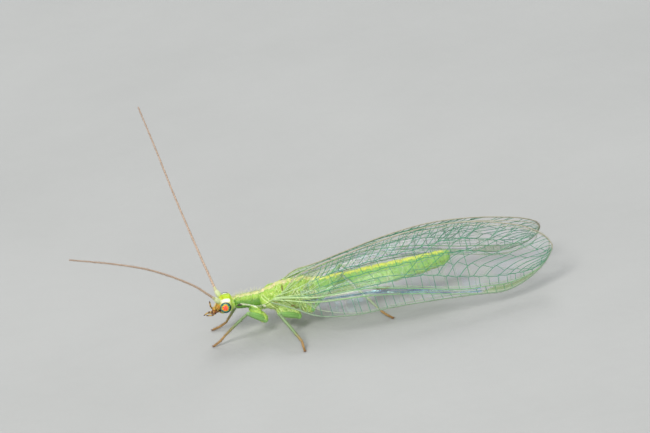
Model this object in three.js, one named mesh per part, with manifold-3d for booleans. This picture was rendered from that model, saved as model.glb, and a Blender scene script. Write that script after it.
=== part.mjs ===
// Green lacewing at rest, wings folded like a roof. Millimetres, +Z up, head towards -X, left side towards -Y.
// Heights are above the surface that the feet stand on.
import * as THREE from "three";
import Module from "manifold-3d";
import { mergeVertices } from "three/addons/utils/BufferGeometryUtils.js";

const wasm = await Module();
wasm.setup();

// Driving dimensions
const GAP = 0.2; // clearance between neighbouring pieces
const EYE_R = 0.28;
const EYE = [-5.19, 0.57, 1.8]; // centre of an eye, y is the sideways distance
const SOCKET_GAP = 0.07;
const HEAD_FRONT = -5.8;
const HEAD_BACK = -4.86;
const NECK_X = -4.72; // front face of the prothorax
const PRO_MESO_X = -3.42; // cut between prothorax and mesothorax
const MESO_META_X = -1.55; // cut between mesothorax and metathorax
const THORAX_END_X = -0.62; // cut between metathorax and abdomen
const ABDOMEN_END_X = 6.3;
const SEGMENTS = 9; // rings of the abdomen
const FEELER_R = 0.21; // at the first ring of the feeler
const FEELER_TIP_R = 0.1;
const LEG_R = 0.22;
const THIGH_R = 0.25;
const FOOT_R = 0.19;
const FOREWING_T = 0.38;
const HINDWING_T = 0.32;
const WING_EDGE_T = 0.2; // thickness at the rims
const VEIN_RISE = 0.09; // height of a vein over the membrane
const WING_LAYER = 0.54; // from the middle of the forewing to the middle of the hindwing
const FOREWING_BULGE = 0.4;
const BULGE_SKEW = 1.15; // over 1 moves the bulge towards the outer rim

const GREEN = 0x7fc13a;
const PALE_GREEN = 0x9ad15a;
const YELLOW_GREEN = 0xc3dc3c;
const TAN = 0xb98f6d;
const BROWN = 0x8a4f28;
const LEG_GREEN = 0x8fc98a;
const EYE_RED = 0xd8502f;
const MEMBRANE = 0xcfe3d4;

const paint = (color, roughness, opacity = 1) =>
  new THREE.MeshStandardMaterial({
    color,
    roughness,
    metalness: 0,
    opacity,
    transparent: opacity < 1,
    side: opacity < 1 ? THREE.DoubleSide : THREE.FrontSide,
  });

const vec = (p) => new THREE.Vector3(p[0], p[1], p[2]);
const mix = (a, b, t) => a + (b - a) * t;

// Solids from rings of points

// Closed surface through rings of equal length, with a fan at each end.
function loft(rings) {
  const n = rings[0].length;
  const position = [];
  const index = [];
  for (const ring of rings) {
    for (const p of ring) position.push(p.x, p.y, p.z);
  }
  for (let r = 0; r + 1 < rings.length; r++) {
    for (let i = 0; i < n; i++) {
      const a = r * n + i;
      const b = r * n + ((i + 1) % n);
      index.push(a, b, a + n, b, b + n, a + n);
    }
  }
  const ends = [
    [0, true],
    [rings.length - 1, false],
  ];
  for (const [r, first] of ends) {
    const c = new THREE.Vector3();
    for (const p of rings[r]) c.add(p);
    c.multiplyScalar(1 / n);
    position.push(c.x, c.y, c.z);
    const hub = position.length / 3 - 1;
    for (let i = 0; i < n; i++) {
      const a = r * n + i;
      const b = r * n + ((i + 1) % n);
      if (first) index.push(hub, b, a);
      else index.push(hub, a, b);
    }
  }
  const g = new THREE.BufferGeometry();
  g.setAttribute("position", new THREE.Float32BufferAttribute(position, 3));
  g.setIndex(index);
  return g;
}

function toSolid(geometry) {
  const g = geometry.clone();
  g.deleteAttribute("normal");
  g.deleteAttribute("uv");
  const m = mergeVertices(g, 1e-4);
  const vertProperties = new Float32Array(m.attributes.position.array);
  const triVerts = new Uint32Array(m.index.array);
  const solid = new wasm.Manifold(new wasm.Mesh({ numProp: 3, vertProperties, triVerts }));
  if (solid.volume() >= 0) return solid;
  for (let i = 0; i < triVerts.length; i += 3) {
    const t = triVerts[i + 1];
    triVerts[i + 1] = triVerts[i + 2];
    triVerts[i + 2] = t;
  }
  return new wasm.Manifold(new wasm.Mesh({ numProp: 3, vertProperties, triVerts }));
}

function toGeometry(solid) {
  const pieces = solid.decompose();
  pieces.sort((a, b) => b.volume() - a.volume());
  const mesh = pieces[0].getMesh();
  const g = new THREE.BufferGeometry();
  g.setAttribute("position", new THREE.Float32BufferAttribute(mesh.vertProperties, 3));
  g.setIndex(Array.from(mesh.triVerts));
  g.computeVertexNormals();
  return g;
}

const joined = (list) => list.map(toSolid).reduce((a, b) => a.add(b));

// Ring of a tube: centre, radius along the two directions across it.
function ringAcross(centre, side, up, rSide, rUp, n, turn = 0) {
  const ring = [];
  for (let i = 0; i < n; i++) {
    const a = turn + (2 * Math.PI * i) / n;
    ring.push(
      centre
        .clone()
        .addScaledVector(side, rSide * Math.cos(a))
        .addScaledVector(up, rUp * Math.sin(a)),
    );
  }
  return ring;
}

// Round bar along a curve, radius given by a function of 0..1, with domed ends.
function bar(points, radius, { sides = 8, steps = 6, flat = 1 } = {}) {
  const curve = new THREE.CatmullRomCurve3(points.map(vec));
  const frames = curve.computeFrenetFrames(steps, false);
  const rings = [];
  const dome = (k, sign) => {
    const c = curve.getPointAt(k === 0 ? 0 : 1);
    const r = radius(k === 0 ? 0 : 1);
    const out = frames.tangents[k === 0 ? 0 : steps].clone().multiplyScalar(sign * r * 0.6);
    const i = k === 0 ? 0 : steps;
    return ringAcross(c.add(out), frames.normals[i], frames.binormals[i], r * 0.55, r * 0.55 * flat, sides);
  };
  rings.push(dome(0, -1));
  for (let i = 0; i <= steps; i++) {
    const t = i / steps;
    const r = radius(t);
    rings.push(ringAcross(curve.getPointAt(t), frames.normals[i], frames.binormals[i], r, r * flat, sides));
  }
  rings.push(dome(1, 1));
  return loft(rings);
}

// Trunk

// Sections of the trunk: x, height of the middle, half width, half height above, half height below.
const TRUNK = [
  [-4.8, 1.72, 0.36, 0.3, 0.26],
  [-4.55, 1.7, 0.46, 0.36, 0.29],
  [-4.1, 1.68, 0.52, 0.37, 0.3],
  [-3.65, 1.67, 0.55, 0.38, 0.34],
  [-3.4, 1.65, 0.56, 0.42, 0.4],
  [-3.1, 1.62, 0.63, 0.6, 0.52],
  [-2.7, 1.6, 0.71, 0.74, 0.66],
  [-2.2, 1.59, 0.77, 0.82, 0.74],
  [-1.75, 1.59, 0.78, 0.84, 0.78],
  [-1.3, 1.6, 0.74, 0.76, 0.76],
  [-0.9, 1.61, 0.62, 0.68, 0.66],
  [-0.55, 1.64, 0.51, 0.6, 0.54],
  [-0.2, 1.66, 0.46, 0.52, 0.48],
  [1.0, 1.7, 0.49, 0.5, 0.49],
  [3.0, 1.74, 0.52, 0.52, 0.51],
  [4.4, 1.82, 0.48, 0.48, 0.47],
  [5.4, 1.92, 0.43, 0.42, 0.41],
  [6.0, 1.98, 0.38, 0.36, 0.34],
  [6.4, 2.02, 0.32, 0.3, 0.26],
];

function trunkAt(x) {
  let i = 0;
  while (i < TRUNK.length - 2 && TRUNK[i + 1][0] < x) i++;
  const a = TRUNK[i];
  const b = TRUNK[i + 1];
  const p = TRUNK[Math.max(0, i - 1)];
  const q = TRUNK[Math.min(TRUNK.length - 1, i + 2)];
  const h = b[0] - a[0];
  const t = THREE.MathUtils.clamp((x - a[0]) / h, 0, 1);
  const t2 = t * t;
  const t3 = t2 * t;
  return [1, 2, 3, 4].map((k) => {
    const ma = ((b[k] - p[k]) / (b[0] - p[0] || 1)) * h;
    const mb = ((q[k] - a[k]) / (q[0] - a[0] || 1)) * h;
    return (2 * t3 - 3 * t2 + 1) * a[k] + (t3 - 2 * t2 + t) * ma + (3 * t2 - 2 * t3) * b[k] + (t3 - t2) * mb;
  });
}

// One section of the trunk, scaled about its middle.
function trunkRing(x, scale = 1, sides = 20, lift = 0) {
  const [zc, w, up, down] = trunkAt(x);
  const ring = [];
  for (let i = 0; i < sides; i++) {
    const a = (2 * Math.PI * i) / sides;
    const s = Math.sin(a);
    const c = Math.cos(a);
    ring.push(new THREE.Vector3(x, w * scale * c, zc + lift + (s > 0 ? up : down) * scale * s));
  }
  return ring;
}

// Stretch of the trunk between two cuts; the rims are rounded a little.
function trunkBetween(x0, x1, steps, sides = 20) {
  const rings = [trunkRing(x0, 0.86, sides)];
  for (let i = 0; i <= steps; i++) {
    rings.push(trunkRing(mix(x0 + 0.06, x1 - 0.06, i / steps), 1, sides));
  }
  rings.push(trunkRing(x1, 0.86, sides));
  return loft(rings);
}

// A smooth lump: ellipsoid at a centre, half sizes, tilted about the Y axis.
function lump(centre, half, tilt = 0, wide = 10, high = 6) {
  const g = new THREE.SphereGeometry(1, wide, high);
  g.scale(half[0], half[1], half[2]);
  g.rotateY(tilt);
  g.translate(centre[0], centre[1], centre[2]);
  return g;
}

const both = (make) => [make(-1), make(1)];

function prothorax() {
  return toGeometry(toSolid(trunkBetween(NECK_X, PRO_MESO_X - GAP / 2, 7)));
}

function mesothorax() {
  const list = [trunkBetween(PRO_MESO_X + GAP / 2, MESO_META_X - GAP / 2, 7)];
  // the raised shield between the wing roots, and the two hips of the middle legs
  list.push(lump([-2.35, 0, 2.2], [0.55, 0.42, 0.27], -0.1));
  for (const s of [-1, 1]) {
    list.push(lump([-2.75, s * 0.36, 2.02], [0.36, 0.27, 0.25], -0.3));
    list.push(lump([-2.0, s * 0.45, 0.95], [0.3, 0.28, 0.32], 0.3));
  }
  return toGeometry(joined(list));
}

function metathorax() {
  const list = [trunkBetween(MESO_META_X + GAP / 2, THORAX_END_X - GAP / 2, 4)];
  list.push(lump([-1.15, 0, 2.2], [0.26, 0.3, 0.2]));
  for (const s of [-1, 1]) list.push(lump([-1.08, s * 0.42, 1.0], [0.3, 0.28, 0.36], -0.2));
  return toGeometry(joined(list));
}

// Each segment swells a little and folds in at its hind rim; the last one is cut off obliquely.
function abdomen() {
  const x0 = THORAX_END_X + GAP / 2;
  const x1 = ABDOMEN_END_X - 0.28;
  const per = 3;
  const rings = [trunkRing(x0, 0.86)];
  for (let i = 0; i <= SEGMENTS * per; i++) {
    const x = mix(x0 + 0.06, x1, i / (SEGMENTS * per));
    const f = (i % per) / per;
    const swell = i % per === 0 ? 0.955 : 1 + 0.02 * Math.sin(Math.PI * f);
    rings.push(trunkRing(x, swell));
  }
  const tip = [
    [0.1, 0.93, 0.02],
    [0.19, 0.78, 0.05],
    [0.26, 0.52, 0.09],
  ];
  for (const [dx, scale, lift] of tip) rings.push(trunkRing(x1 + dx, scale, 20, lift));
  return loft(rings);
}

// Head

// Sections from the face to the nape: x, middle height, half width, half height above and below.
const HEAD = [
  [HEAD_FRONT, 1.55, 0.17, 0.13, 0.16],
  [-5.73, 1.58, 0.26, 0.26, 0.26],
  [-5.61, 1.64, 0.34, 0.36, 0.34],
  [-5.46, 1.71, 0.42, 0.44, 0.42],
  [-5.3, 1.76, 0.48, 0.5, 0.47],
  [-5.14, 1.78, 0.5, 0.51, 0.48],
  [-4.98, 1.79, 0.47, 0.48, 0.45],
  [-4.89, 1.78, 0.4, 0.4, 0.38],
  [HEAD_BACK, 1.77, 0.3, 0.3, 0.28],
];

function headShell() {
  const sides = 24;
  const rings = HEAD.map(([x, zc, w, up, down]) => {
    const ring = [];
    for (let i = 0; i < sides; i++) {
      const a = (2 * Math.PI * i) / sides;
      const s = Math.sin(a);
      ring.push(new THREE.Vector3(x, w * Math.cos(a), zc + (s > 0 ? up : down) * s));
    }
    return ring;
  });
  return toSolid(loft(rings));
}

const eyeBall = (s, r) => lump([EYE[0], s * EYE[1], EYE[2]], [r, r, r], 0, 16, 10);

function head() {
  let solid = headShell();
  for (const s of [-1, 1]) solid = solid.subtract(toSolid(eyeBall(s, EYE_R + SOCKET_GAP)));
  return toGeometry(solid);
}

// Upper lip with jaws, and two pairs of jointed palps; the right upper palp is raised.
function mouthparts() {
  const root = HEAD_FRONT - GAP / 2;
  const list = [lump([root - 0.14, 0, 1.54], [0.15, 0.17, 0.17], 0, 10, 6)];
  list.push(lump([root - 0.12, 0, 1.44], [0.12, 0.14, 0.13], 0, 10, 6));
  const thin = (t) => mix(0.085, 0.06, t);
  list.push(bar([[root - 0.12, -0.1, 1.5], [root - 0.24, -0.17, 1.55], [-6.36, -0.2, 1.44]], thin, { sides: 6, steps: 4 }));
  list.push(bar([[root - 0.12, 0.1, 1.52], [root - 0.2, 0.16, 1.62], [-6.08, 0.17, 1.96]], thin, { sides: 6, steps: 4 }));
  for (const s of [-1, 1]) {
    list.push(bar([[root - 0.1, s * 0.08, 1.42], [root - 0.2, s * 0.12, 1.34], [-6.22, s * 0.13, 1.36]], thin, { sides: 6, steps: 4 }));
  }
  return toGeometry(joined(list));
}

// Feelers

const FEELER_LEFT = [
  [-5.65, -0.37, 2.29],
  [-6.49, -1.06, 3.57],
  [-8.15, -2.42, 5.42],
  [-9.69, -3.67, 6.72],
  [-11.71, -5.33, 8.21],
];
const FEELER_RIGHT = [
  [-5.56, 0.32, 2.4],
  [-6.08, 1.19, 4.53],
  [-6.69, 2.26, 7.17],
  [-7.07, 3.03, 9.04],
  [-7.58, 3.99, 11.41],
];

// Thick base ring, waist, then the long lash with fine rings.
function feeler(path, s) {
  const sides = 6;
  const start = vec(path[0]);
  const aim = vec(path[1]).sub(start).normalize();
  const foot = start.clone().addScaledVector(aim, -0.24);
  const scape = bar([foot.toArray(), start.toArray()], () => FEELER_R + 0.02, { sides, steps: 2 });
  const lash = bar(
    path,
    (t) => mix(FEELER_R, FEELER_TIP_R, Math.pow(t, 0.8)) * (1 + 0.05 * Math.cos(2 * Math.PI * 20 * t)),
    { sides, steps: 40 },
  );
  return toGeometry(joined([scape, lash]));
}

// Legs

// Named joints of each leg on the left side: hip, trochanter, knee, ankle, toe.
const FORE_LEG = {
  hip: [-3.93, -0.58, 1.22],
  turn: [-3.36, -0.76, 0.8],
  knee: [-4.12, -1.3, 1.61],
  ankle: [-5.49, -1.0, 0.52],
  toe: [-6.06, -1.03, 0.12],
};
const FAR_FORE_LEG = {
  hip: [-3.93, 0.58, 1.22],
  turn: [-3.36, 0.76, 0.8],
  knee: [-4.4, 0.98, 1.4],
  ankle: [-5.42, 0.86, 0.3],
  toe: [-6.05, 0.79, 0.12],
};
const MID_LEG = {
  hip: [-1.95, -0.86, 0.72],
  turn: [-1.68, -0.98, 0.76],
  knee: [-2.57, -1.72, 1.45],
  ankle: [-1.7, -3.08, 0.42],
  toe: [-1.66, -3.36, 0.12],
};
const HIND_LEG = {
  hip: [-1.1, -0.94, 0.98],
  turn: [-0.92, -0.98, 1.02],
  knee: [0.82, -0.6, 2.35],
  ankle: [2.36, -1.24, 0.36],
  toe: [2.82, -1.64, 0.12],
};
const mirrored = (leg) => Object.fromEntries(Object.entries(leg).map(([k, p]) => [k, [p[0], -p[1], p[2]]]));

function leg({ hip, turn, knee, ankle, toe }, hipR, thighR, shinR) {
  const list = [
    bar([hip, turn], (t) => mix(hipR, thighR * 0.9, t), { steps: 2 }),
    bar([turn, knee], (t) => mix(thighR * 0.86, thighR * 0.8, t) + 0.14 * thighR * Math.sin(Math.PI * t), { steps: 4 }),
    bar([knee, ankle], (t) => mix(shinR, shinR * 0.88, t), { steps: 4 }),
    bar([ankle, toe], (t) => mix(shinR * 0.86, FOOT_R, t), { steps: 2 }),
  ];
  // the toe lies on the surface: a short pad with a flat underside
  const a = vec(ankle);
  const b = vec(toe);
  const ahead = b.clone().sub(a).setZ(0).normalize().multiplyScalar(0.14);
  const c = b.clone().add(ahead).setZ(toe[2]);
  list.push(bar([toe, c.toArray()], () => FOOT_R, { steps: 2 }));
  return toGeometry(joined(list).trimByPlane([0, 0, 1], 0));
}

// Wings

// Inner rim, along the ridge of the roof, and outer rim of the left forewing, root to tip.
const FORE_INNER = [
  [-1.9, -0.72, 2.46],
  [-1.4, -0.37, 2.7],
  [-0.5, -0.2, 2.87],
  [1.1, -0.18, 3.21],
  [3.3, -0.18, 3.64],
  [5.5, -0.18, 3.85],
  [7.6, -0.22, 3.68],
  [9.3, -0.36, 3.27],
  [10.4, -0.58, 2.84],
  [11.1, -0.86, 2.34],
];
const FORE_OUTER = [
  [-2.25, -1.19, 1.75],
  [-1.57, -1.6, 1.38],
  [-0.63, -2.1, 1.1],
  [1.2, -2.62, 1.05],
  [3.1, -2.72, 1.12],
  [5.2, -2.68, 1.03],
  [7.2, -2.52, 0.82],
  [8.7, -2.25, 0.57],
  [9.9, -1.88, 0.78],
  [10.85, -1.46, 1.24],
];
const WING_TIP = [11.4, -1.16, 1.8];

// Places across the wing, 0 at the inner rim and 1 at the outer rim; raised columns are veins.
// The longitudinal veins near the outer rim draw together towards the tip.
const VEINS = [
  { root: 0.3, tip: 0.2 },
  { root: 0.5, tip: 0.62 },
  { root: 0.66, tip: 0.86 },
];

function columns() {
  const list = [{ root: 0, tip: 0, rise: 0 }];
  let last = { root: 0, tip: 0 };
  for (const v of VEINS) {
    list.push({ root: mix(last.root, v.root, 0.5), tip: mix(last.tip, v.tip, 0.5), rise: 0 });
    list.push({ root: v.root - 0.045, tip: v.tip - 0.035, rise: 0 });
    list.push({ root: v.root, tip: v.tip, rise: 1 });
    list.push({ root: v.root + 0.045, tip: v.tip + 0.035, rise: 0 });
    last = v;
  }
  list.push({ root: mix(last.root, 1, 0.55), tip: mix(last.tip, 1, 0.55), rise: 0 });
  list.push({ root: 1, tip: 1, rise: 0.6 });
  return list;
}

// A curved vane between two rims; both faces carry the same net of points.
function vane({ inner, outer, tip, from, to, bulge, inward, thick, rows, narrow }) {
  const a = new THREE.CatmullRomCurve3([...inner.map(vec), vec(tip)]);
  const b = new THREE.CatmullRomCurve3([...outer.map(vec), vec(tip)]);
  const cols = columns();
  const along = new THREE.Vector3(1, 0, 0);
  const place = (u, v) => {
    const p = a.getPoint(u);
    const q = b.getPoint(u);
    const n = q.clone().sub(p).cross(along).normalize();
    if (n.z < 0) n.negate();
    const rise = bulge * Math.sin(Math.PI * Math.min(1, u * 1.05)) ** 0.6 * Math.sin(Math.PI * v ** BULGE_SKEW);
    const point = p.lerp(q, v).addScaledVector(n, rise - inward);
    return { point, n };
  };
  const rings = [];
  for (let r = 0; r <= rows; r++) {
    const u = mix(from, to, Math.pow(r / rows, 0.92));
    const w = (u - from) / (to - from);
    const [v0, v1] = narrow(w);
    const upper = [];
    const lower = [];
    cols.forEach((c) => {
      const v = mix(c.root, c.tip, w);
      const { point, n } = place(u, mix(v0, v1, v));
      const rim = Math.min(1, Math.min(v, 1 - v) / 0.16, (1 - w) / 0.05 + 0.3);
      const t = mix(WING_EDGE_T, thick, Math.sqrt(rim)) / 2;
      upper.push(point.clone().addScaledVector(n, t + c.rise * VEIN_RISE * Math.min(1, 6 * (1 - w))));
      lower.push(point.clone().addScaledVector(n, -t));
    });
    rings.push([...upper, ...lower.reverse()]);
  }
  return toGeometry(toSolid(loft(rings)));
}

const forewing = () =>
  vane({
    inner: FORE_INNER,
    outer: FORE_OUTER,
    tip: WING_TIP,
    from: 0,
    to: 0.985,
    bulge: FOREWING_BULGE,
    inward: 0,
    thick: FOREWING_T,
    rows: 20,
    narrow: () => [0, 1],
  });

// The hindwing lies under the forewing; it starts as a narrow strip beside the thigh and widens past the shin.
const hindwing = () =>
  vane({
    inner: FORE_INNER,
    outer: FORE_OUTER,
    tip: WING_TIP,
    from: 0.13,
    to: 0.955,
    bulge: FOREWING_BULGE,
    inward: WING_LAYER,
    thick: HINDWING_T,
    rows: 15,
    narrow: (w) => {
      const open = THREE.MathUtils.smoothstep(w, 0.26, 0.46);
      return [mix(0.66, 0.2, open), 0.95];
    },
  });

const flip = (geometry) => toGeometry(toSolid(geometry).mirror([0, 1, 0]));

// The whole insect

const body = new THREE.Group();
const add = (name, geometry, material) => {
  const mesh = new THREE.Mesh(geometry, material);
  mesh.name = name;
  body.add(mesh);
};

add("head", head(), paint(YELLOW_GREEN, 0.4));
for (const [side, s] of [["left", -1], ["right", 1]]) {
  add("eye_" + side, eyeBall(s, EYE_R), paint(EYE_RED, 0.2));
}
add("mouthparts", mouthparts(), paint(BROWN, 0.5));
add("antenna_left", feeler(FEELER_LEFT), paint(TAN, 0.6));
add("antenna_right", feeler(FEELER_RIGHT), paint(TAN, 0.6));
add("prothorax", prothorax(), paint(GREEN, 0.5));
add("mesothorax", mesothorax(), paint(GREEN, 0.5));
add("metathorax", metathorax(), paint(GREEN, 0.5));
add("abdomen", abdomen(), paint(PALE_GREEN, 0.5));

add("leg_fore_left", leg(FORE_LEG, 0.27, THIGH_R, LEG_R), paint(LEG_GREEN, 0.5));
add("leg_fore_right", leg(FAR_FORE_LEG, 0.27, THIGH_R, LEG_R), paint(LEG_GREEN, 0.5));
for (const [side, turn] of [["left", (l) => l], ["right", mirrored]]) {
  add("leg_mid_" + side, leg(turn(MID_LEG), 0.22, THIGH_R, LEG_R), paint(LEG_GREEN, 0.5));
  add("leg_hind_" + side, leg(turn(HIND_LEG), 0.22, 0.22, 0.2), paint(LEG_GREEN, 0.5));
}

const fore = forewing();
const hind = hindwing();
add("forewing_left", fore, paint(MEMBRANE, 0.25, 0.45));
add("forewing_right", flip(fore), paint(MEMBRANE, 0.25, 0.45));
add("hindwing_left", hind, paint(MEMBRANE, 0.25, 0.45));
add("hindwing_right", flip(hind), paint(MEMBRANE, 0.25, 0.45));

// The origin is on the floor, under the middle of the whole outline.
const box = new THREE.Box3().setFromObject(body);
body.position.set(-(box.min.x + box.max.x) / 2, -(box.min.y + box.max.y) / 2, -box.min.z);

const group = new THREE.Group();
group.name = "green_lacewing";
group.add(body);

export default group;
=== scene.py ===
import math

import bpy
import numpy as np
from mathutils import Matrix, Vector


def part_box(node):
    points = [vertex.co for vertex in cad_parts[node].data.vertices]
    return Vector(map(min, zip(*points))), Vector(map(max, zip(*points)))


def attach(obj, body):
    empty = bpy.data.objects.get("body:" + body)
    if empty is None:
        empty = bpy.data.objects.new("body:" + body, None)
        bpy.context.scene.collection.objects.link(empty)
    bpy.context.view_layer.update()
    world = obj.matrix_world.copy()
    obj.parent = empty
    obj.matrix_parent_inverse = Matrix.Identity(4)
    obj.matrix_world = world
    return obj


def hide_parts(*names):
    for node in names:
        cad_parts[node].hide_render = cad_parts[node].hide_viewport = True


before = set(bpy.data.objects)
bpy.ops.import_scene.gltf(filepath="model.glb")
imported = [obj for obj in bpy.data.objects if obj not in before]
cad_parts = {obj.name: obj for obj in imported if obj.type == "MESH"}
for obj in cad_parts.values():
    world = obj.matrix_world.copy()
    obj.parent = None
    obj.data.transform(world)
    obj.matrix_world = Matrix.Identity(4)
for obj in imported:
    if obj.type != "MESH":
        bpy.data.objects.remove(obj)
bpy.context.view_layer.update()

# All shapes are worked out in millimetres: head towards -X, left side towards -Y, floor at z = 0.
MM = 0.001
EYE = np.array([-5.19, 0.57, 1.8])
EYE_R = 0.277
SIDES = {"left": -1, "right": 1}

low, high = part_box("eye_left")
SHIFT = np.array([(low[i] + high[i]) / 2 / MM for i in range(3)]) - EYE * (1, -1, 1)


def metres(p):
    return (np.asarray(p, float) + SHIFT) * MM


def srgb(r, g, b):
    c = np.array([r, g, b], float) / 255
    return np.where(c <= 0.04045, c / 12.92, ((c + 0.055) / 1.055) ** 2.4)


def unit(v):
    v = np.asarray(v, float)
    return v / np.maximum(np.linalg.norm(v, axis=-1, keepdims=True), 1e-12)


def mix(a, b, t):
    return a + (b - a) * t


def smooth(a, b, x):
    t = np.clip((np.asarray(x, float) - a) / (b - a), 0, 1)
    return t * t * (3 - 2 * t)


def bell(d, width):
    return np.exp(-(d / width) ** 2)


# Curves

class Spline:
    """Centripetal curve through points, its parameter running evenly from point to point."""

    def __init__(self, points):
        pts = np.array(points, float)
        a = np.vstack([2 * pts[0] - pts[1], pts[:-1]])[: len(pts) - 1]
        b, c = pts[:-1], pts[1:]
        d = np.vstack([pts[2:], 2 * pts[-1] - pts[-2]])
        root = lambda p, q: np.maximum(((p - q) ** 2).sum(1) ** 0.25, 1e-6)[:, None]
        ab, bc, cd = root(a, b), root(b, c), root(c, d)
        t1 = ((b - a) / ab - (c - a) / (ab + bc) + (c - b) / bc) * bc
        t2 = ((c - b) / bc - (d - b) / (bc + cd) + (d - c) / cd) * bc
        self.c = [b, t1, -3 * b + 3 * c - 2 * t1 - t2, 2 * b - 2 * c + t1 + t2]
        self.n = len(b)

    def at(self, u):
        s = np.clip(np.asarray(u, float), 0, 1) * self.n
        i = np.minimum(s.astype(int), self.n - 1)
        w = (s - i)[..., None]
        c0, c1, c2, c3 = (k[i] for k in self.c)
        return c0 + c1 * w + c2 * w * w + c3 * w ** 3

    def even(self, count):
        dense = self.at(np.linspace(0, 1, 40 * self.n + 1))
        return resample(dense, count)


def resample(points, count):
    points = np.asarray(points, float)
    step = np.linalg.norm(np.diff(points, axis=0), axis=1)
    run = np.concatenate([[0], np.cumsum(step)])
    want = np.linspace(0, run[-1], count)
    return np.stack([np.interp(want, run, points[:, k]) for k in range(points.shape[1])], 1)


def length_of(points):
    return float(np.linalg.norm(np.diff(points, axis=0), axis=1).sum())


def frames_along(path):
    """Tangent and two cross directions at each point, without twist."""
    t = unit(np.gradient(path, axis=0))
    ref = np.array([0.0, 0, 1]) if abs(t[0][2]) < 0.9 else np.array([1.0, 0, 0])
    n = unit(ref - t[0] * (ref @ t[0]))
    normals = []
    for k in range(len(path)):
        n = unit(n - t[k] * (n @ t[k]))
        normals.append(n)
    normals = np.array(normals)
    return t, normals, np.cross(t, normals)


# Meshes put together from many closed shells

BARE = (1, 1, 1)
DOME = 0.6  # how far the rounded end of a tube stands out, in radii
HAIR_SPOTS = [(math.cos(a), math.sin(a)) for a in (0, 2.094, 4.189)]


def angles(count):
    return np.arange(count) * 2 * math.pi / count


def linked(name, data):
    obj = bpy.data.objects.new(name, data)
    bpy.context.scene.collection.objects.link(obj)
    return obj


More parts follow.
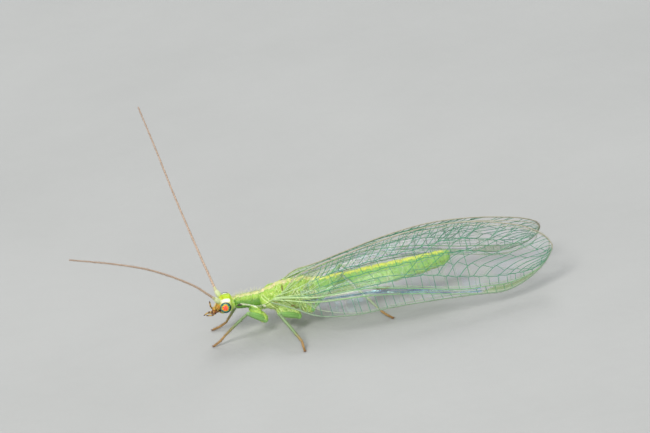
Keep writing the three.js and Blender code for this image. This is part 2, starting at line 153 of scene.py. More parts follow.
class Soup:
    def __init__(self):
        self.verts, self.faces, self.tints, self.uvs = [], [], [], []
        self.count = 0

    def add(self, verts, faces, tint):
        self.verts.append(np.asarray(verts, float))
        self.faces.extend((np.asarray(f) + self.count).tolist() for f in faces)
        self.tints.append(np.broadcast_to(np.asarray(tint, float), (len(verts), 3)))
        self.count += len(verts)

    def loft(self, rings, tint=BARE):
        """Closed skin over rings that have the same number of points."""
        rings = np.asarray(rings, float)
        m, sides = rings.shape[:2]
        i = np.arange(sides)
        j = (i + 1) % sides
        faces = []
        for k in range(0, (m - 1) * sides, sides):
            faces += list(np.stack([k + i, k + j, k + sides + j, k + sides + i], 1))
        faces += [i[::-1], (m - 1) * sides + i]
        self.add(rings.reshape(-1, 3), faces, tint)

    def tube(self, path, radius, tint=BARE, sides=8, stripes=0, depth=0.0):
        """Closed bar with domed ends. Radius and tint may vary along it. Stripes are dark lines on it."""
        path = np.asarray(path, float)
        r = np.broadcast_to(np.asarray(radius, float), (len(path),))
        c = np.broadcast_to(np.asarray(tint, float), (len(path), 3))
        t, n, b = frames_along(path)
        path = np.vstack([path[0] - t[0] * r[0] * DOME, path, path[-1] + t[-1] * r[-1] * DOME])
        n, b, c = (np.vstack([k[0], k, k[-1]]) for k in (n, b, c))
        r = np.concatenate([[r[0] * 0.5], r, [r[-1] * 0.5]])
        a = angles(sides)
        out = np.cos(a)[None, :, None] * n[:, None] + np.sin(a)[None, :, None] * b[:, None]
        shade = 1 - depth * np.maximum(np.cos(a * stripes), 0) ** 4 if stripes else np.ones(sides)
        shade = np.tile(shade, len(path))[:, None]
        self.loft(path[:, None] + r[:, None, None] * out, np.repeat(c, sides, axis=0) * shade)

    def ball(self, centre, half, wide=20, high=12, tint=BARE):
        lat = np.linspace(0, math.pi, high + 1)[1:-1]
        lon = angles(wide)
        grid = np.stack([np.outer(np.sin(lat), np.cos(lon)), np.outer(np.sin(lat), np.sin(lon)),
                         np.outer(np.cos(lat), np.ones(wide))], -1).reshape(-1, 3)
        verts = np.vstack([grid, [[0, 0, 1]], [[0, 0, -1]]]) * np.asarray(half, float)
        i = np.arange(wide)
        j = (i + 1) % wide
        top, end = len(grid), (high - 2) * wide
        faces = []
        for k in range(0, end, wide):
            faces += list(np.stack([k + i, k + wide + i, k + wide + j, k + j], 1))
        faces += [np.array([top, a, b]) for a, b in zip(i, j)]
        faces += [np.array([top + 1, end + b, end + a]) for a, b in zip(i, j)]
        self.add(verts + np.asarray(centre, float), faces, tint)

    def hairs(self, roots, ways, lengths, thick, tint, uv, fine=False):
        """Tapered hairs, each with its base a little below the surface. With fine they are single cones."""
        n = len(roots)
        if not n:
            return
        ways = unit(ways)
        lengths = np.asarray(lengths)[:, None]
        other = np.where(np.abs(ways[:, 2:]) < 0.9, [[0.0, 0, 1]], [[1.0, 0, 0]])
        side = unit(np.cross(ways, other))
        up = np.cross(side, ways)
        ring = lambda at, part: [at + (side * c + up * s) * thick * part for c, s in HAIR_SPOTS]
        base = ring(roots - ways * thick, 1)
        tip = roots + ways * lengths
        if fine:
            verts = np.stack(base + [tip], 1)
            faces = [(0, 1, 3), (1, 2, 3), (2, 0, 3), (2, 1, 0)]
        else:
            verts = np.stack(base + ring(roots + ways * lengths * 0.5, 0.7) + [tip], 1)
            faces = [(0, 1, 4, 3), (1, 2, 5, 4), (2, 0, 3, 5), (3, 4, 6), (4, 5, 6), (5, 3, 6), (2, 1, 0)]
        per = verts.shape[1]
        spread = np.array([[math.cos(a), math.sin(a)] for a in np.arange(per) * 2.4]) * 0.0015
        self.verts.append(verts.reshape(-1, 3))
        self.uvs.append((np.asarray(uv, float)[:, None, :] + spread[None]).reshape(-1, 2))
        self.tints.append(np.repeat(np.broadcast_to(tint, (n, 3)), per, axis=0))
        for start in range(self.count, self.count + n * per, per):
            self.faces.extend([start + q for q in f] for f in faces)
        self.count += n * per

    def object(self, name, materials, coat=False, face_slots=None):
        """The object in metres. A coat of hairs also gets a flat map."""
        me = bpy.data.meshes.new(name)
        verts = metres(np.vstack(self.verts))
        me.from_pydata(verts.tolist(), [], self.faces)
        tint = me.attributes.new("tint", "FLOAT_COLOR", "POINT")
        rgba = np.ones((len(verts), 4), np.float32)
        rgba[:, :3] = np.vstack(self.tints)
        tint.data.foreach_set("color", rgba.ravel())
        if coat:
            layer = me.uv_layers.new(name="OFBake")
            at = np.zeros(len(me.loops), int)
            me.loops.foreach_get("vertex_index", at)
            layer.data.foreach_set("uv", np.vstack(self.uvs)[at].astype(np.float32).ravel())
        for m in materials:
            me.materials.append(m)
        if face_slots is not None:
            me.polygons.foreach_set("material_index", np.asarray(face_slots, np.int32))
        me.polygons.foreach_set("use_smooth", np.ones(len(me.polygons), bool))
        me.update()
        return linked(name, me)


def settle(obj, slot, *nodes):
    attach(obj, "root")
    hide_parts(*nodes)
    return obj


# Materials. Noise scales count waves to the metre, and depths are metres.

class Nodes:
    def __init__(self, name):
        self.mat = bpy.data.materials.new(name)
        self.mat.use_nodes = True
        self.tree = self.mat.node_tree
        self.tree.nodes.clear()
        self.out = self.tree.nodes.new("ShaderNodeOutputMaterial")
        self.bsdf = self.tree.nodes.new("ShaderNodeBsdfPrincipled")
        self.link(self.bsdf.outputs[0], self.out.inputs[0])
        self.place = self.new("ShaderNodeTexCoord").outputs["Object"]

    def new(self, kind, **props):
        n = self.tree.nodes.new(kind)
        for k, v in props.items():
            setattr(n, k, v)
        return n

    def link(self, a, b):
        self.tree.links.new(a, b)

    def fill(self, node, **values):
        for k, v in values.items():
            node.inputs[k.replace("_", " ")].default_value = v

    def set(self, **values):
        self.fill(self.bsdf, **values)

    def tint(self):
        return self.new("ShaderNodeAttribute", attribute_name="tint").outputs["Color"]

    def noise(self, scale, detail=2.0, rough=0.5, distortion=0.0):
        n = self.new("ShaderNodeTexNoise")
        self.fill(n, Scale=scale, Detail=detail, Roughness=rough, Distortion=distortion)
        self.link(self.place, n.inputs["Vector"])
        return n.outputs["Fac"]

    def cells(self, scale):
        n = self.new("ShaderNodeTexVoronoi", feature="SMOOTH_F1")
        self.fill(n, Scale=scale)
        self.link(self.place, n.inputs["Vector"])
        return n.outputs["Distance"]

    def ramp(self, value, stops):
        n = self.new("ShaderNodeValToRGB")
        while len(n.color_ramp.elements) < len(stops):
            n.color_ramp.elements.new(0.5)
        for e, (at, c) in zip(n.color_ramp.elements, stops):
            e.position = at
            e.color = (*c, 1)
        self.link(value, n.inputs[0])
        return n.outputs[0]

    def range(self, value, a, b, c, d):
        n = self.new("ShaderNodeMapRange")
        self.fill(n, From_Min=a, From_Max=b, To_Min=c, To_Max=d)
        self.link(value, n.inputs["Value"])
        return n.outputs[0]

    def times(self, a, b):
        """Product of two colours."""
        n = self.new("ShaderNodeMix", data_type="RGBA", blend_type="MULTIPLY")
        n.inputs[0].default_value = 1.0
        self.link(a, n.inputs[6])
        self.link(b, n.inputs[7])
        return n.outputs[2]

    def maths(self, kind, a, b=0.0):
        n = self.new("ShaderNodeMath", operation=kind)
        self.link(a, n.inputs[0])
        if isinstance(b, bpy.types.NodeSocket):
            self.link(b, n.inputs[1])
        else:
            n.inputs[1].default_value = b
        return n.outputs[0]

    def vector(self, kind, a, b=(0, 0, 0)):
        n = self.new("ShaderNodeVectorMath", operation=kind)
        self.link(a, n.inputs[0])
        n.inputs[1].default_value = b
        return n.outputs["Value" if kind == "DOT_PRODUCT" else "Vector"]

    def bump(self, height, distance):
        n = self.new("ShaderNodeBump")
        self.fill(n, Distance=distance, Strength=1.0)
        self.link(height, n.inputs["Height"])
        self.link(n.outputs[0], self.bsdf.inputs["Normal"])

    def colour(self, socket):
        self.link(socket, self.bsdf.inputs["Base Color"])

    def rough(self, value, a, b):
        self.link(self.range(value, 0.3, 0.7, a, b), self.bsdf.inputs["Roughness"])


def skin_material():
    m = Nodes("lacewing_skin")
    patchy = m.noise(5200, 4, 0.6)
    fine = m.noise(26000)
    light = m.ramp(patchy, [(0.3, (0.78, 0.86, 0.62)), (0.52, BARE), (0.75, (1.12, 1.06, 1.15))])
    speck = m.ramp(fine, [(0.32, (0.86, 0.92, 0.75)), (0.5, BARE), (0.7, (1.06, 1.04, 1.1))])
    m.colour(m.times(m.times(m.tint(), light), speck))
    m.bump(m.maths("ADD", m.maths("MULTIPLY", m.noise(32000, 3), 0.5), m.noise(9000)), 0.00003)
    m.rough(fine, 0.38, 0.54)
    m.set(Specular_IOR_Level=0.36, Subsurface_Weight=0.12, Subsurface_Scale=0.0003)
    m.set(Coat_Weight=0.08, Coat_Roughness=0.25)
    return m.mat


def tinted_material(name, grain, stops, rough, shine=0.5, pores=0, depth=0.0):
    """Coloured by the tint of each point and mottled by fine noise. Without pores it is evenly rough."""
    m = Nodes(name)
    fine = m.noise(*grain)
    m.colour(m.times(m.tint(), m.ramp(fine, stops)))
    if pores:
        m.bump(m.noise(pores), depth)
        m.rough(fine, *rough)
    else:
        m.set(Roughness=rough)
    m.set(Specular_IOR_Level=shine)
    return m.mat


EYE_AXIS = (-0.04, 0.93, 0.36)
EYE_RINGS = [
    (0.0, srgb(240, 92, 104)),
    (0.2, srgb(244, 80, 50)),
    (0.3, srgb(246, 118, 26)),
    (0.39, srgb(230, 204, 36)),
    (0.46, srgb(70, 164, 56)),
    (0.53, srgb(14, 146, 138)),
    (0.61, srgb(10, 62, 112)),
    (0.69, srgb(5, 9, 16)),
]


def eye_material(side):
    """Rings of colour about the outward axis of the eye, broken up into patches, under a net of facets."""
    m = Nodes("lacewing_eye_" + side)
    mirror = (1, SIDES[side], 1)
    way = m.vector("NORMALIZE", m.vector("SUBTRACT", m.place, metres(EYE * mirror)))
    spread = m.maths("ARCCOSINE", m.vector("DOT_PRODUCT", way, unit(np.multiply(EYE_AXIS, mirror))))
    angle = m.maths("ADD", spread, m.range(m.noise(13000, 2, 0.7), 0.25, 0.75, -0.38, 0.38))
    rings = m.ramp(m.range(angle, 0.0, 1.6, 0.0, 1.0), EYE_RINGS)
    dots = m.ramp(m.noise(24000, 1), [(0.4, (0.7, 0.7, 0.7)), (0.6, (1.15, 1.15, 1.15))])
    m.colour(m.times(rings, dots))
    m.bump(m.cells(42000), 0.00001)
    m.set(Roughness=0.28, Specular_IOR_Level=0.35, Coat_Weight=0.15, Coat_Roughness=0.08)
    return m.mat


def membrane_material(name, alpha, tones, metal, wave=900):
    """Thin clear film: a faint coat of shifting pastel tones, wrinkled by the cells of the wing."""
    m = Nodes(name)
    drift = m.noise(wave, 2, 0.5, 1.2)
    m.colour(m.ramp(drift, [(0.25 + 0.5 * k / (len(tones) - 1), srgb(*t)) for k, t in enumerate(tones)]))
    m.bump(m.noise(2600, 3, 0.55), 0.00003)
    m.set(Alpha=alpha, Metallic=metal, Specular_IOR_Level=0.7)
    m.rough(m.noise(7000), 0.16, 0.28)
    return m.mat


def floor_material():
    m = Nodes("pale_floor")
    m.colour(m.ramp(m.noise(60, 5, 0.6), [(0.3, (0.405, 0.41, 0.40)), (0.7, (0.435, 0.44, 0.43))]))
    m.bump(m.noise(900, 4), 0.00005)
    m.set(Roughness=0.9, Specular_IOR_Level=0.1)
    return m.mat


SKIN = skin_material()
LIMB = tinted_material(
    "lacewing_limb", (22000, 3, 0.6), [(0.3, (0.8, 0.86, 0.72)), (0.55, BARE), (0.75, (1.12, 1.1, 1.12))],
    rough=(0.36, 0.52), shine=0.45, pores=60000, depth=0.000008)
FEELER = tinted_material(
    "lacewing_feeler", (30000,), [(0.3, (0.78, 0.76, 0.74)), (0.6, (1.08, 1.06, 1.05))],
    rough=(0.5, 0.65), pores=80000, depth=0.000006)
VEIN = tinted_material(
    "lacewing_vein", (9000, 3, 0.6), [(0.3, (0.78, 0.8, 0.78)), (0.55, BARE), (0.75, (1.15, 1.12, 1.15))],
    rough=(0.3, 0.45), pores=50000, depth=0.000004)
HAIR = tinted_material(
    "lacewing_hair", (15000, 1), [(0.3, (0.8, 0.8, 0.8)), (0.7, (1.1, 1.1, 1.1))], rough=0.55)
FILM_TONES = [(168, 214, 206), (206, 214, 196), (206, 190, 214), (170, 206, 226), (196, 222, 190)]
# The next tones are a painted sheen: dark blues that stand in for the blue glint of the film between subcosta
# and first radius.
PAINTED_SHEEN_TONES = [(40, 70, 120), (60, 104, 140), (110, 150, 140), (70, 86, 128)]
STIGMA_TONES = [(112, 142, 84), (136, 164, 96), (122, 150, 92)]
FILM = membrane_material("lacewing_film", 0.04, FILM_TONES, 0.55)
PAINTED_SHEEN_STRIP = membrane_material("lacewing_painted_sheen_strip", 0.5, PAINTED_SHEEN_TONES, 0.6, 2200)
STIGMA = membrane_material("lacewing_stigma", 0.5, STIGMA_TONES, 0.1, 2600)


# Body skin

TRUNK = np.array([
    [-4.8, 1.72, 0.36, 0.3, 0.26],
    [-4.55, 1.7, 0.46, 0.36, 0.29],
    [-4.1, 1.68, 0.52, 0.37, 0.3],
    [-3.65, 1.67, 0.55, 0.38, 0.34],
    [-3.4, 1.65, 0.56, 0.42, 0.4],
    [-3.1, 1.62, 0.63, 0.54, 0.52],
    [-2.7, 1.6, 0.71, 0.65, 0.66],
    [-2.2, 1.59, 0.77, 0.74, 0.74],
    [-1.75, 1.59, 0.78, 0.78, 0.78],
    [-1.3, 1.6, 0.74, 0.76, 0.76],
    [-0.9, 1.61, 0.62, 0.68, 0.66],
    [-0.55, 1.64, 0.51, 0.6, 0.54],
    [-0.2, 1.66, 0.46, 0.52, 0.48],
    [1.0, 1.7, 0.49, 0.5, 0.49],
    [3.0, 1.74, 0.52, 0.52, 0.51],
    [4.4, 1.82, 0.48, 0.48, 0.47],
    [5.4, 1.92, 0.43, 0.42, 0.41],
    [6.0, 1.98, 0.38, 0.36, 0.34],
    [6.4, 2.02, 0.32, 0.3, 0.26],
])
HEAD = np.array([
    [-5.74, 1.62, 0.17, 0.13, 0.12],
    [-5.68, 1.64, 0.26, 0.24, 0.2],
    [-5.59, 1.67, 0.34, 0.34, 0.28],
    [-5.46, 1.71, 0.42, 0.44, 0.42],
    [-5.3, 1.76, 0.48, 0.46, 0.47],
    [-5.14, 1.78, 0.5, 0.46, 0.48],
    [-4.98, 1.79, 0.47, 0.44, 0.45],
    [-4.89, 1.78, 0.4, 0.4, 0.38],
    [-4.86, 1.77, 0.3, 0.3, 0.28],
])
ABDOMEN_X = (-0.62, 6.02)
SEGMENTS = 9
BODY_SIDES = 64
BODY_NODES = ["head", "prothorax", "mesothorax", "metathorax", "abdomen"]


def section(table, x):
    """Middle height, half width and half heights at x, by a smooth curve through the rows."""
    x = np.asarray(x, float)
    i = np.clip(np.searchsorted(table[:, 0], x, side="right") - 1, 0, len(table) - 2)
    p, q = np.maximum(i - 1, 0), np.minimum(i + 2, len(table) - 1)
    a, b, pa, qb = table[i], table[i + 1], table[p], table[q]
    h = (b[:, 0] - a[:, 0])[:, None]
    t = np.clip((x - a[:, 0])[:, None] / h, 0, 1)
    ma = (b - pa) / (b[:, :1] - pa[:, :1]) * h
    mb = (qb - a) / (qb[:, :1] - a[:, :1]) * h
    return ((2 * t ** 3 - 3 * t ** 2 + 1) * a + (t ** 3 - 2 * t ** 2 + t) * ma
            + (3 * t ** 2 - 2 * t ** 3) * b + (t ** 3 - t ** 2) * mb)[:, 1:]


def middle_height(x):
    return section(TRUNK, np.clip(x, -4.8, 6.4))[:, 0]


def rings_of(table, xs, scale=1.0, lift=0.0):
    s = section(table, xs)
    scale, lift = (np.broadcast_to(k, (len(xs),))[:, None] for k in (scale, lift))
    a = angles(BODY_SIDES)
    z = np.where(np.sin(a) > 0, s[:, 2:3] * np.sin(a), s[:, 3:4] * np.sin(a)) * scale + (s[:, :1] + lift)
    y = s[:, 1:2] * scale * np.cos(a)
    return np.stack([np.repeat(np.asarray(xs)[:, None], BODY_SIDES, 1), y, z], -1)


def remeshed(soup, voxel):
    """One closed skin round all the shells of the soup, still in millimetres."""
    me = bpy.data.meshes.new("draft")
    me.from_pydata(np.vstack(soup.verts).tolist(), [], soup.faces)
    draft = linked("draft", me)
    mod = draft.modifiers.new("skin", "REMESH")
    mod.mode = "VOXEL"
    mod.voxel_size = voxel
    dg = bpy.context.evaluated_depsgraph_get()
    made = bpy.data.meshes.new_from_object(draft.evaluated_get(dg))
    verts = np.zeros(len(made.vertices) * 3)
    made.vertices.foreach_get("co", verts)
    faces = [list(p.vertices) for p in made.polygons]
    edges = np.zeros(len(made.edges) * 2, int)
    made.edges.foreach_get("vertices", edges)
    bpy.data.objects.remove(draft)
    bpy.data.meshes.remove(me)
    bpy.data.meshes.remove(made)
    return verts.reshape(-1, 3), faces, edges.reshape(-1, 2)


def relaxed(verts, edges, rounds):
    """Evens out the steps of the remesh without shrinking the form."""
    n = len(verts)
    near = np.bincount(edges.ravel(), minlength=n)[:, None]
    for _ in range(rounds):
        for step in (0.5, -0.52):
            total = np.stack([np.bincount(edges[:, 0], verts[edges[:, 1], c], n)
                              + np.bincount(edges[:, 1], verts[edges[:, 0], c], n) for c in range(3)], 1)
            verts = verts + step * (total / near - verts)
    return verts


def normals_of(verts, faces):
    """Normals at the points, the faces as rows of four, and a normal of twice its area for each face."""
    quads = np.array([f if len(f) == 4 else f + [f[-1]] for f in faces])
    a, b, c, d = (verts[quads[:, k]] for k in range(4))
    n = np.cross(c - a, d - b)
    total = lambda axis: sum(np.bincount(quads[:, k], n[:, axis], len(verts)) for k in range(4))
    return unit(np.stack([total(axis) for axis in range(3)], 1)), quads, n


def line_distance(p, line):
    """Distance of 2-D points from a polyline."""
    line = np.asarray(line, float)
    best = np.full(len(p), 1e9)
    for a, b in zip(line[:-1], line[1:]):
        d = b - a
        t = np.clip(((p - a) @ d) / (d @ d), 0, 1)
        best = np.minimum(best, np.linalg.norm(p - a - t[:, None] * d, axis=1))
    return best


def groove(p, line, depth, width):
    return -depth * bell(line_distance(p, line), width)


# Seams between the plates: on the flanks as x, z and on the back as x, |y|.
FLANK_SEAMS = [
    ([(-3.28, 1.95), (-2.95, 1.62), (-2.62, 1.2), (-2.5, 0.98)], 0.035, 0.035),
    ([(-3.3, 1.5), (-2.83, 1.71), (-2.59, 1.53), (-2.2, 1.3), (-2.0, 1.12)], 0.03, 0.03),
    ([(-2.55, 2.12), (-2.3, 1.72), (-2.01, 1.43), (-1.76, 1.09)], 0.04, 0.035),
    ([(-2.3, 1.72), (-1.85, 1.8), (-1.55, 2.05)], 0.03, 0.03),
    ([(-1.62, 2.0), (-1.45, 1.6), (-1.4, 1.2), (-1.3, 0.95)], 0.045, 0.04),
    ([(-1.45, 1.6), (-1.05, 1.55), (-0.8, 1.75)], 0.03, 0.03),
    ([(-1.0, 1.9), (-0.95, 1.4), (-0.85, 1.1)], 0.03, 0.03),
    ([(-4.66, 1.8), (-4.42, 1.79), (-4.0, 1.68), (-3.66, 1.52), (-3.45, 1.5)], 0.035, 0.03),
    ([(-4.2, 2.1), (-4.16, 1.8)], 0.015, 0.03),
]
BACK_SEAMS = [
    ([(-3.2, 0.0), (-2.85, 0.12), (-2.6, 0.3), (-2.55, 0.6)], 0.03, 0.035),
    ([(-2.35, 0.0), (-2.3, 0.14), (-2.0, 0.34), (-1.95, 0.7)], 0.04, 0.04),
    ([(-1.66, 0.0), (-1.7, 0.2), (-1.85, 0.34)], 0.05, 0.04),
    ([(-1.4, 0.0), (-1.25, 0.2), (-1.2, 0.5)], 0.03, 0.035),
    ([(-4.38, 0.0), (-4.36, 0.5)], 0.02, 0.045),
    ([(-3.86, 0.0), (-3.84, 0.5)], 0.03, 0.05),
    ([(-5.02, 0.0), (-4.98, 0.4)], 0.02, 0.03),
]
# Roots of the legs: three points, and the radius at both ends.
COXAE = [
    ([(-3.9, 0.38, 1.46), (-3.62, 0.66, 1.14), (-3.4, 0.74, 0.85)], 0.24, 0.225),
    ([(-2.5, 0.42, 1.08), (-2.05, 0.66, 0.9), (-1.72, 0.88, 0.84)], 0.36, 0.2),
    ([(-1.35, 0.42, 1.15), (-1.12, 0.66, 1.0), (-0.95, 0.88, 1.0)], 0.34, 0.2),
]
# Lobes of back and head: centre, half sizes, and the number of points round and up them.
MIDDLE_LOBES = [
    ((-2.3, 0, 2.14), (0.5, 0.36, 0.25), 32, 20),
    ((-1.86, 0, 2.24), (0.24, 0.24, 0.2), 24, 16),
    ((-1.15, 0, 2.22), (0.26, 0.3, 0.18), 24, 16),
]
SIDE_LOBES = [
    ((-2.8, 0.34, 1.94), (0.38, 0.27, 0.25), 32, 20),
    ((-2.22, 0.45, 2.0), (0.3, 0.26, 0.24), 24, 16),
    ((-1.2, 0.4, 2.06), (0.24, 0.24, 0.2), 24, 16),
    ((-2.3, 0.66, 1.98), (0.2, 0.14, 0.12), 24, 16),
    ((-1.28, 0.62, 1.98), (0.18, 0.14, 0.11), 24, 16),
]
HEAD_LOBES = [
    ((-5.05, 0, 1.96), (0.28, 0.32, 0.18), 32, 20),
    ((-5.66, 0, 1.68), (0.13, 0.2, 0.18), 24, 16),
]
CHEEK = ((-5.52, 0.25, 1.66), (0.2, 0.14, 0.2))
SOCKET = [(-5.3, 0.18, 1.95), (-5.43, 0.22, 2.06)]
NECK = [(-5.1, 0, 1.76), (-4.8, 0, 1.74), (-4.5, 0, 1.72)]
# Blunt end of the abdomen: where its rings are, how wide beside the last full one, and how far lifted.
TAIL_X, TAIL_SCALE, TAIL_LIFT = [6.1, 6.18, 6.25, 6.29], [0.93, 0.8, 0.58, 0.3], [0.02, 0.05, 0.08, 0.1]


def body_shells():
    s = Soup()
    xs = np.concatenate([np.linspace(-4.72, -0.62, 90), np.linspace(-0.58, 6.02, 120), TAIL_X])
    scale, lift = np.ones(len(xs)), np.zeros(len(xs))
    scale[0] = 0.8
    scale[-len(TAIL_X):] = TAIL_SCALE
    lift[-len(TAIL_X):] = TAIL_LIFT
    s.loft(rings_of(TRUNK, xs, scale, lift))
    s.loft(rings_of(HEAD, np.linspace(-5.74, -4.86, 40)))
    s.tube(Spline(NECK).even(8), 0.3, sides=32)
    for lobe in MIDDLE_LOBES:
        s.ball(*lobe)
    for k in (-1, 1):
        mirror = np.array([1, k, 1])
        for centre, *size in SIDE_LOBES:
            s.ball(centre * mirror, *size)
        t = np.linspace(0, 1, 12)
        for points, r0, r1 in COXAE:
            s.tube(Spline(points * mirror).even(12), mix(r0, r1, t) + 0.03 * np.sin(math.pi * t), sides=28)
        # ring round the eye, cheek, socket of the feeler
        a = np.linspace(0, 2 * math.pi, 33)
        ring = [EYE[0] + 0.262 * np.cos(a), k * (0.475 + 0.02 * np.sin(a)), EYE[2] + 0.262 * np.sin(a)]
        s.tube(np.stack(ring, 1), 0.04, sides=10)
        s.ball(CHEEK[0] * mirror, CHEEK[1])
        s.tube(SOCKET * mirror, 0.13, sides=24)
    for lobe in HEAD_LOBES:
        s.ball(*lobe)
    return s


def crumple(p):
    """Uneven waves between -1 and 1, like the creased plates round the roots of the wings."""
    x, y, z = p.T
    return np.sin(x * 23 + 4 * np.sin(z * 11 + y * 5)) * np.sin(z * 27 + 5 * np.sin(x * 13 - y * 7))


def segment(x):
    """How far each point is through its ring of the abdomen, and how far from a fold, both in rings."""
    s = (x - ABDOMEN_X[0]) / (ABDOMEN_X[1] - ABDOMEN_X[0]) * SEGMENTS
    f = s - np.floor(s)
    return f, np.minimum(f, 1 - f)


# Folds that run round the body: x, depth, width.
FOLDS = [(-3.42, 0.045, 0.06), (-1.5, 0.02, 0.05), (-0.66, 0.04, 0.06), (-4.74, 0.02, 0.04)]


def trunk_shape(p, n):
    """Height to add along the normal: folds between the rings, seams between the plates, fine wrinkles."""
    x, y, z = p.T
    side = np.abs(n[:, 1])
    out = np.zeros(len(p))
    thorax = (x < -0.6) & (x > -5.2)
    flank, back = smooth(0.25, 0.6, side), smooth(0.3, 0.7, n[:, 2])
    for on, across, seams in ((flank, z, FLANK_SEAMS), (back, np.abs(y), BACK_SEAMS)):
        for line, depth, width in seams:
            out += np.where(thorax, on * groove(np.stack([x, across], 1), line, depth, width), 0)
    fine = 0.008 * np.sin(x * 41 + 6 * np.sin(z * 13)) * np.sin(z * 37 + 5 * np.sin(x * 17 + y * 9))
    out += np.where(thorax & (x > -3.4), fine, 0)
    out += smooth(-3.2, -2.9, x) * smooth(-0.6, -0.8, x) * 0.014 * crumple(p)
    for at, depth, width in FOLDS:
        out -= depth * bell(x - at, width)
    x0, x1 = ABDOMEN_X
    on = smooth(x0 - 0.02, x0 + 0.1, x)
    f, gap = segment(x)
    edge = gap * (x1 - x0) / SEGMENTS
    out += on * (0.014 * np.sin(math.pi * f) ** 0.7 - 0.034 * bell(edge, 0.035) * (x < x1 + 0.1))
    mid = middle_height(x)
    out -= on * 0.035 * (bell(z - mid + 0.1 - 0.03 * np.sin(math.pi * f), 0.05) * smooth(0.5, 0.8, side))
    folds = bell(z - mid + 0.1, 0.14) * smooth(0.4, 0.8, side)
    out += on * 0.006 * folds * np.sin(x * 58 + 3 * np.sin(z * 9))
    out += on * 0.006 * np.sin(x * 31 + 5 * y) * np.sin(z * 23 + 7 * y)
    return out


LIME = srgb(166, 202, 84)
PALE = srgb(196, 220, 134)
MINT = srgb(152, 204, 94)
CREAM = srgb(212, 212, 138)
YELLOW = srgb(220, 230, 70)
VERTEX = srgb(182, 210, 10)
WHITE = srgb(244, 246, 224)
FACE = srgb(196, 172, 60)
RUST = srgb(176, 104, 40)
DARK = srgb(38, 28, 16)
# The first of these is painted shade, a darker green laid on the sides of the neck shield; the second is a
# pink blotch colour.
PAINTED_NECK_SHADE, BLUSH = srgb(92, 142, 44), srgb(232, 206, 182)
STRIPE_RIM, FOLD = srgb(120, 178, 60), srgb(186, 214, 128)
# Painted light on the creased thorax: a lighter colour for lit crests, painted shade for the creases, and
# white painted glints.
PAINTED_CREST_LIGHT, PAINTED_CREASE_SHADE, PAINTED_GLINT = srgb(212, 232, 140), srgb(122, 152, 44), srgb(240, 246, 208)
SEAM, SEAM_RIM = srgb(116, 150, 44), srgb(226, 236, 180)
CROWN, EYE_RIM = srgb(196, 220, 84), srgb(214, 224, 140)
# Half width of the stripe down the back, by x.
STRIPE_X = [-4.8, -4.2, -3.4, -2.8, -1.6, -0.6, 0.4, 5.0, 6.3]
STRIPE_HALF = [0.14, 0.15, 0.13, 0.18, 0.18, 0.17, 0.18, 0.16, 0.12]
# Marks on both sides: centre, half sizes, colour, amount.
MARKS = [
    ((-4.5, 0.5, 1.74), (0.15, 0.2, 0.055), DARK, 0.95),
    ((-2.24, 0.5, 2.3), (0.055, 0.26, 0.24), srgb(110, 90, 24), 0.9),
    ((-2.32, 0.62, 2.02), (0.12, 0.26, 0.03), srgb(130, 120, 40), 0.6),
    ((-2.71, 0.74, 1.62), (0.13, 0.2, 0.045), RUST, 0.55),
    ((-1.88, 0.76, 1.26), (0.11, 0.2, 0.07), RUST, 0.6),
    ((-3.31, 0.62, 1.46), (0.1, 0.3, 0.15), WHITE, 0.85),
    ((-2.45, 0.7, 1.3), (0.2, 0.3, 0.12), PALE, 0.6),
]


def spot(p, at, size):
    """1 at the centre of a soft oval mark on both sides of the body, 0 outside it."""
    d = (np.stack([p[:, 0], np.abs(p[:, 1]), p[:, 2]], 1) - at) / size
    return smooth(1.15, 0.75, np.linalg.norm(d, axis=1))


def lay(base, colour, amount):
    return base + (colour - base) * np.clip(amount, 0, 1)[:, None]


def back_tint(c, x, ay, up, abdomen):
    """The stripe down the back with its blotches and rim, and the folds of the abdomen."""
    waver = 0.03 * np.sin(x * 17) + 0.02 * np.sin(x * 41 + 1.3) + 0.012 * np.sin(x * 83)
    half = np.interp(x, STRIPE_X, STRIPE_HALF)
    top = smooth(0.1, 0.4, up)
    stripe = smooth(0.06, -0.05, ay - half - waver) * top
    c = lay(c, mix(CREAM, YELLOW, abdomen[:, None]), stripe * (x > -4.86) * smooth(6.05, 5.85, x))
    blotch = smooth(-1.5, -1.9, x) * smooth(-3.6, -3.3, x) * smooth(-0.3, 0.6, np.sin(x * 11))
    c = lay(c, BLUSH, stripe * blotch * 0.55)
    c = lay(c, STRIPE_RIM, bell(ay - half - waver - 0.05, 0.035) * top * (x > -4.8) * 0.45)
    return lay(c, FOLD, abdomen * bell(segment(x)[1], 0.07) * (0.55 - 0.4 * stripe))


def flank_tint(c, p, side, up):
    """Painted light and shade on the creased thorax: lit crests, shaded creases and glints. Its seams with
    their pale edges, and the line on the neck shield.
    """
    x, z = p[:, 0], p[:, 2]
    wave = crumple(p)
    rough = smooth(-3.2, -2.8, x) * smooth(-0.5, -0.8, x) * smooth(0.9, 0.6, up)
    # Painted light and shade over the creases: crests lit lighter, creases shaded darker, thin painted glints
    # on the highest crests.
    c = lay(c, PAINTED_CREST_LIGHT, rough * smooth(0.15, 0.6, wave) * 0.7)
    c = lay(c, PAINTED_CREASE_SHADE, rough * smooth(-0.25, -0.65, wave) * 0.6)
    c = lay(c, PAINTED_GLINT, rough * smooth(0.75, 0.92, wave) * 0.7)
    flat = np.stack([x, z], 1)
    on = (x < -0.6) * (x > -3.4) * smooth(0.25, 0.6, side)
    for seam, *_ in FLANK_SEAMS[:7]:
        d = line_distance(flat, seam)
        c = lay(c, SEAM, on * bell(d, 0.022) * 0.8)
        c = lay(c, SEAM_RIM, on * bell(d - 0.065, 0.025) * 0.6)
    line = bell(line_distance(flat, FLANK_SEAMS[7][0]), 0.03)
    return lay(c, WHITE, line * smooth(0.3, 0.6, side) * (x > -4.45) * (x < -3.4))


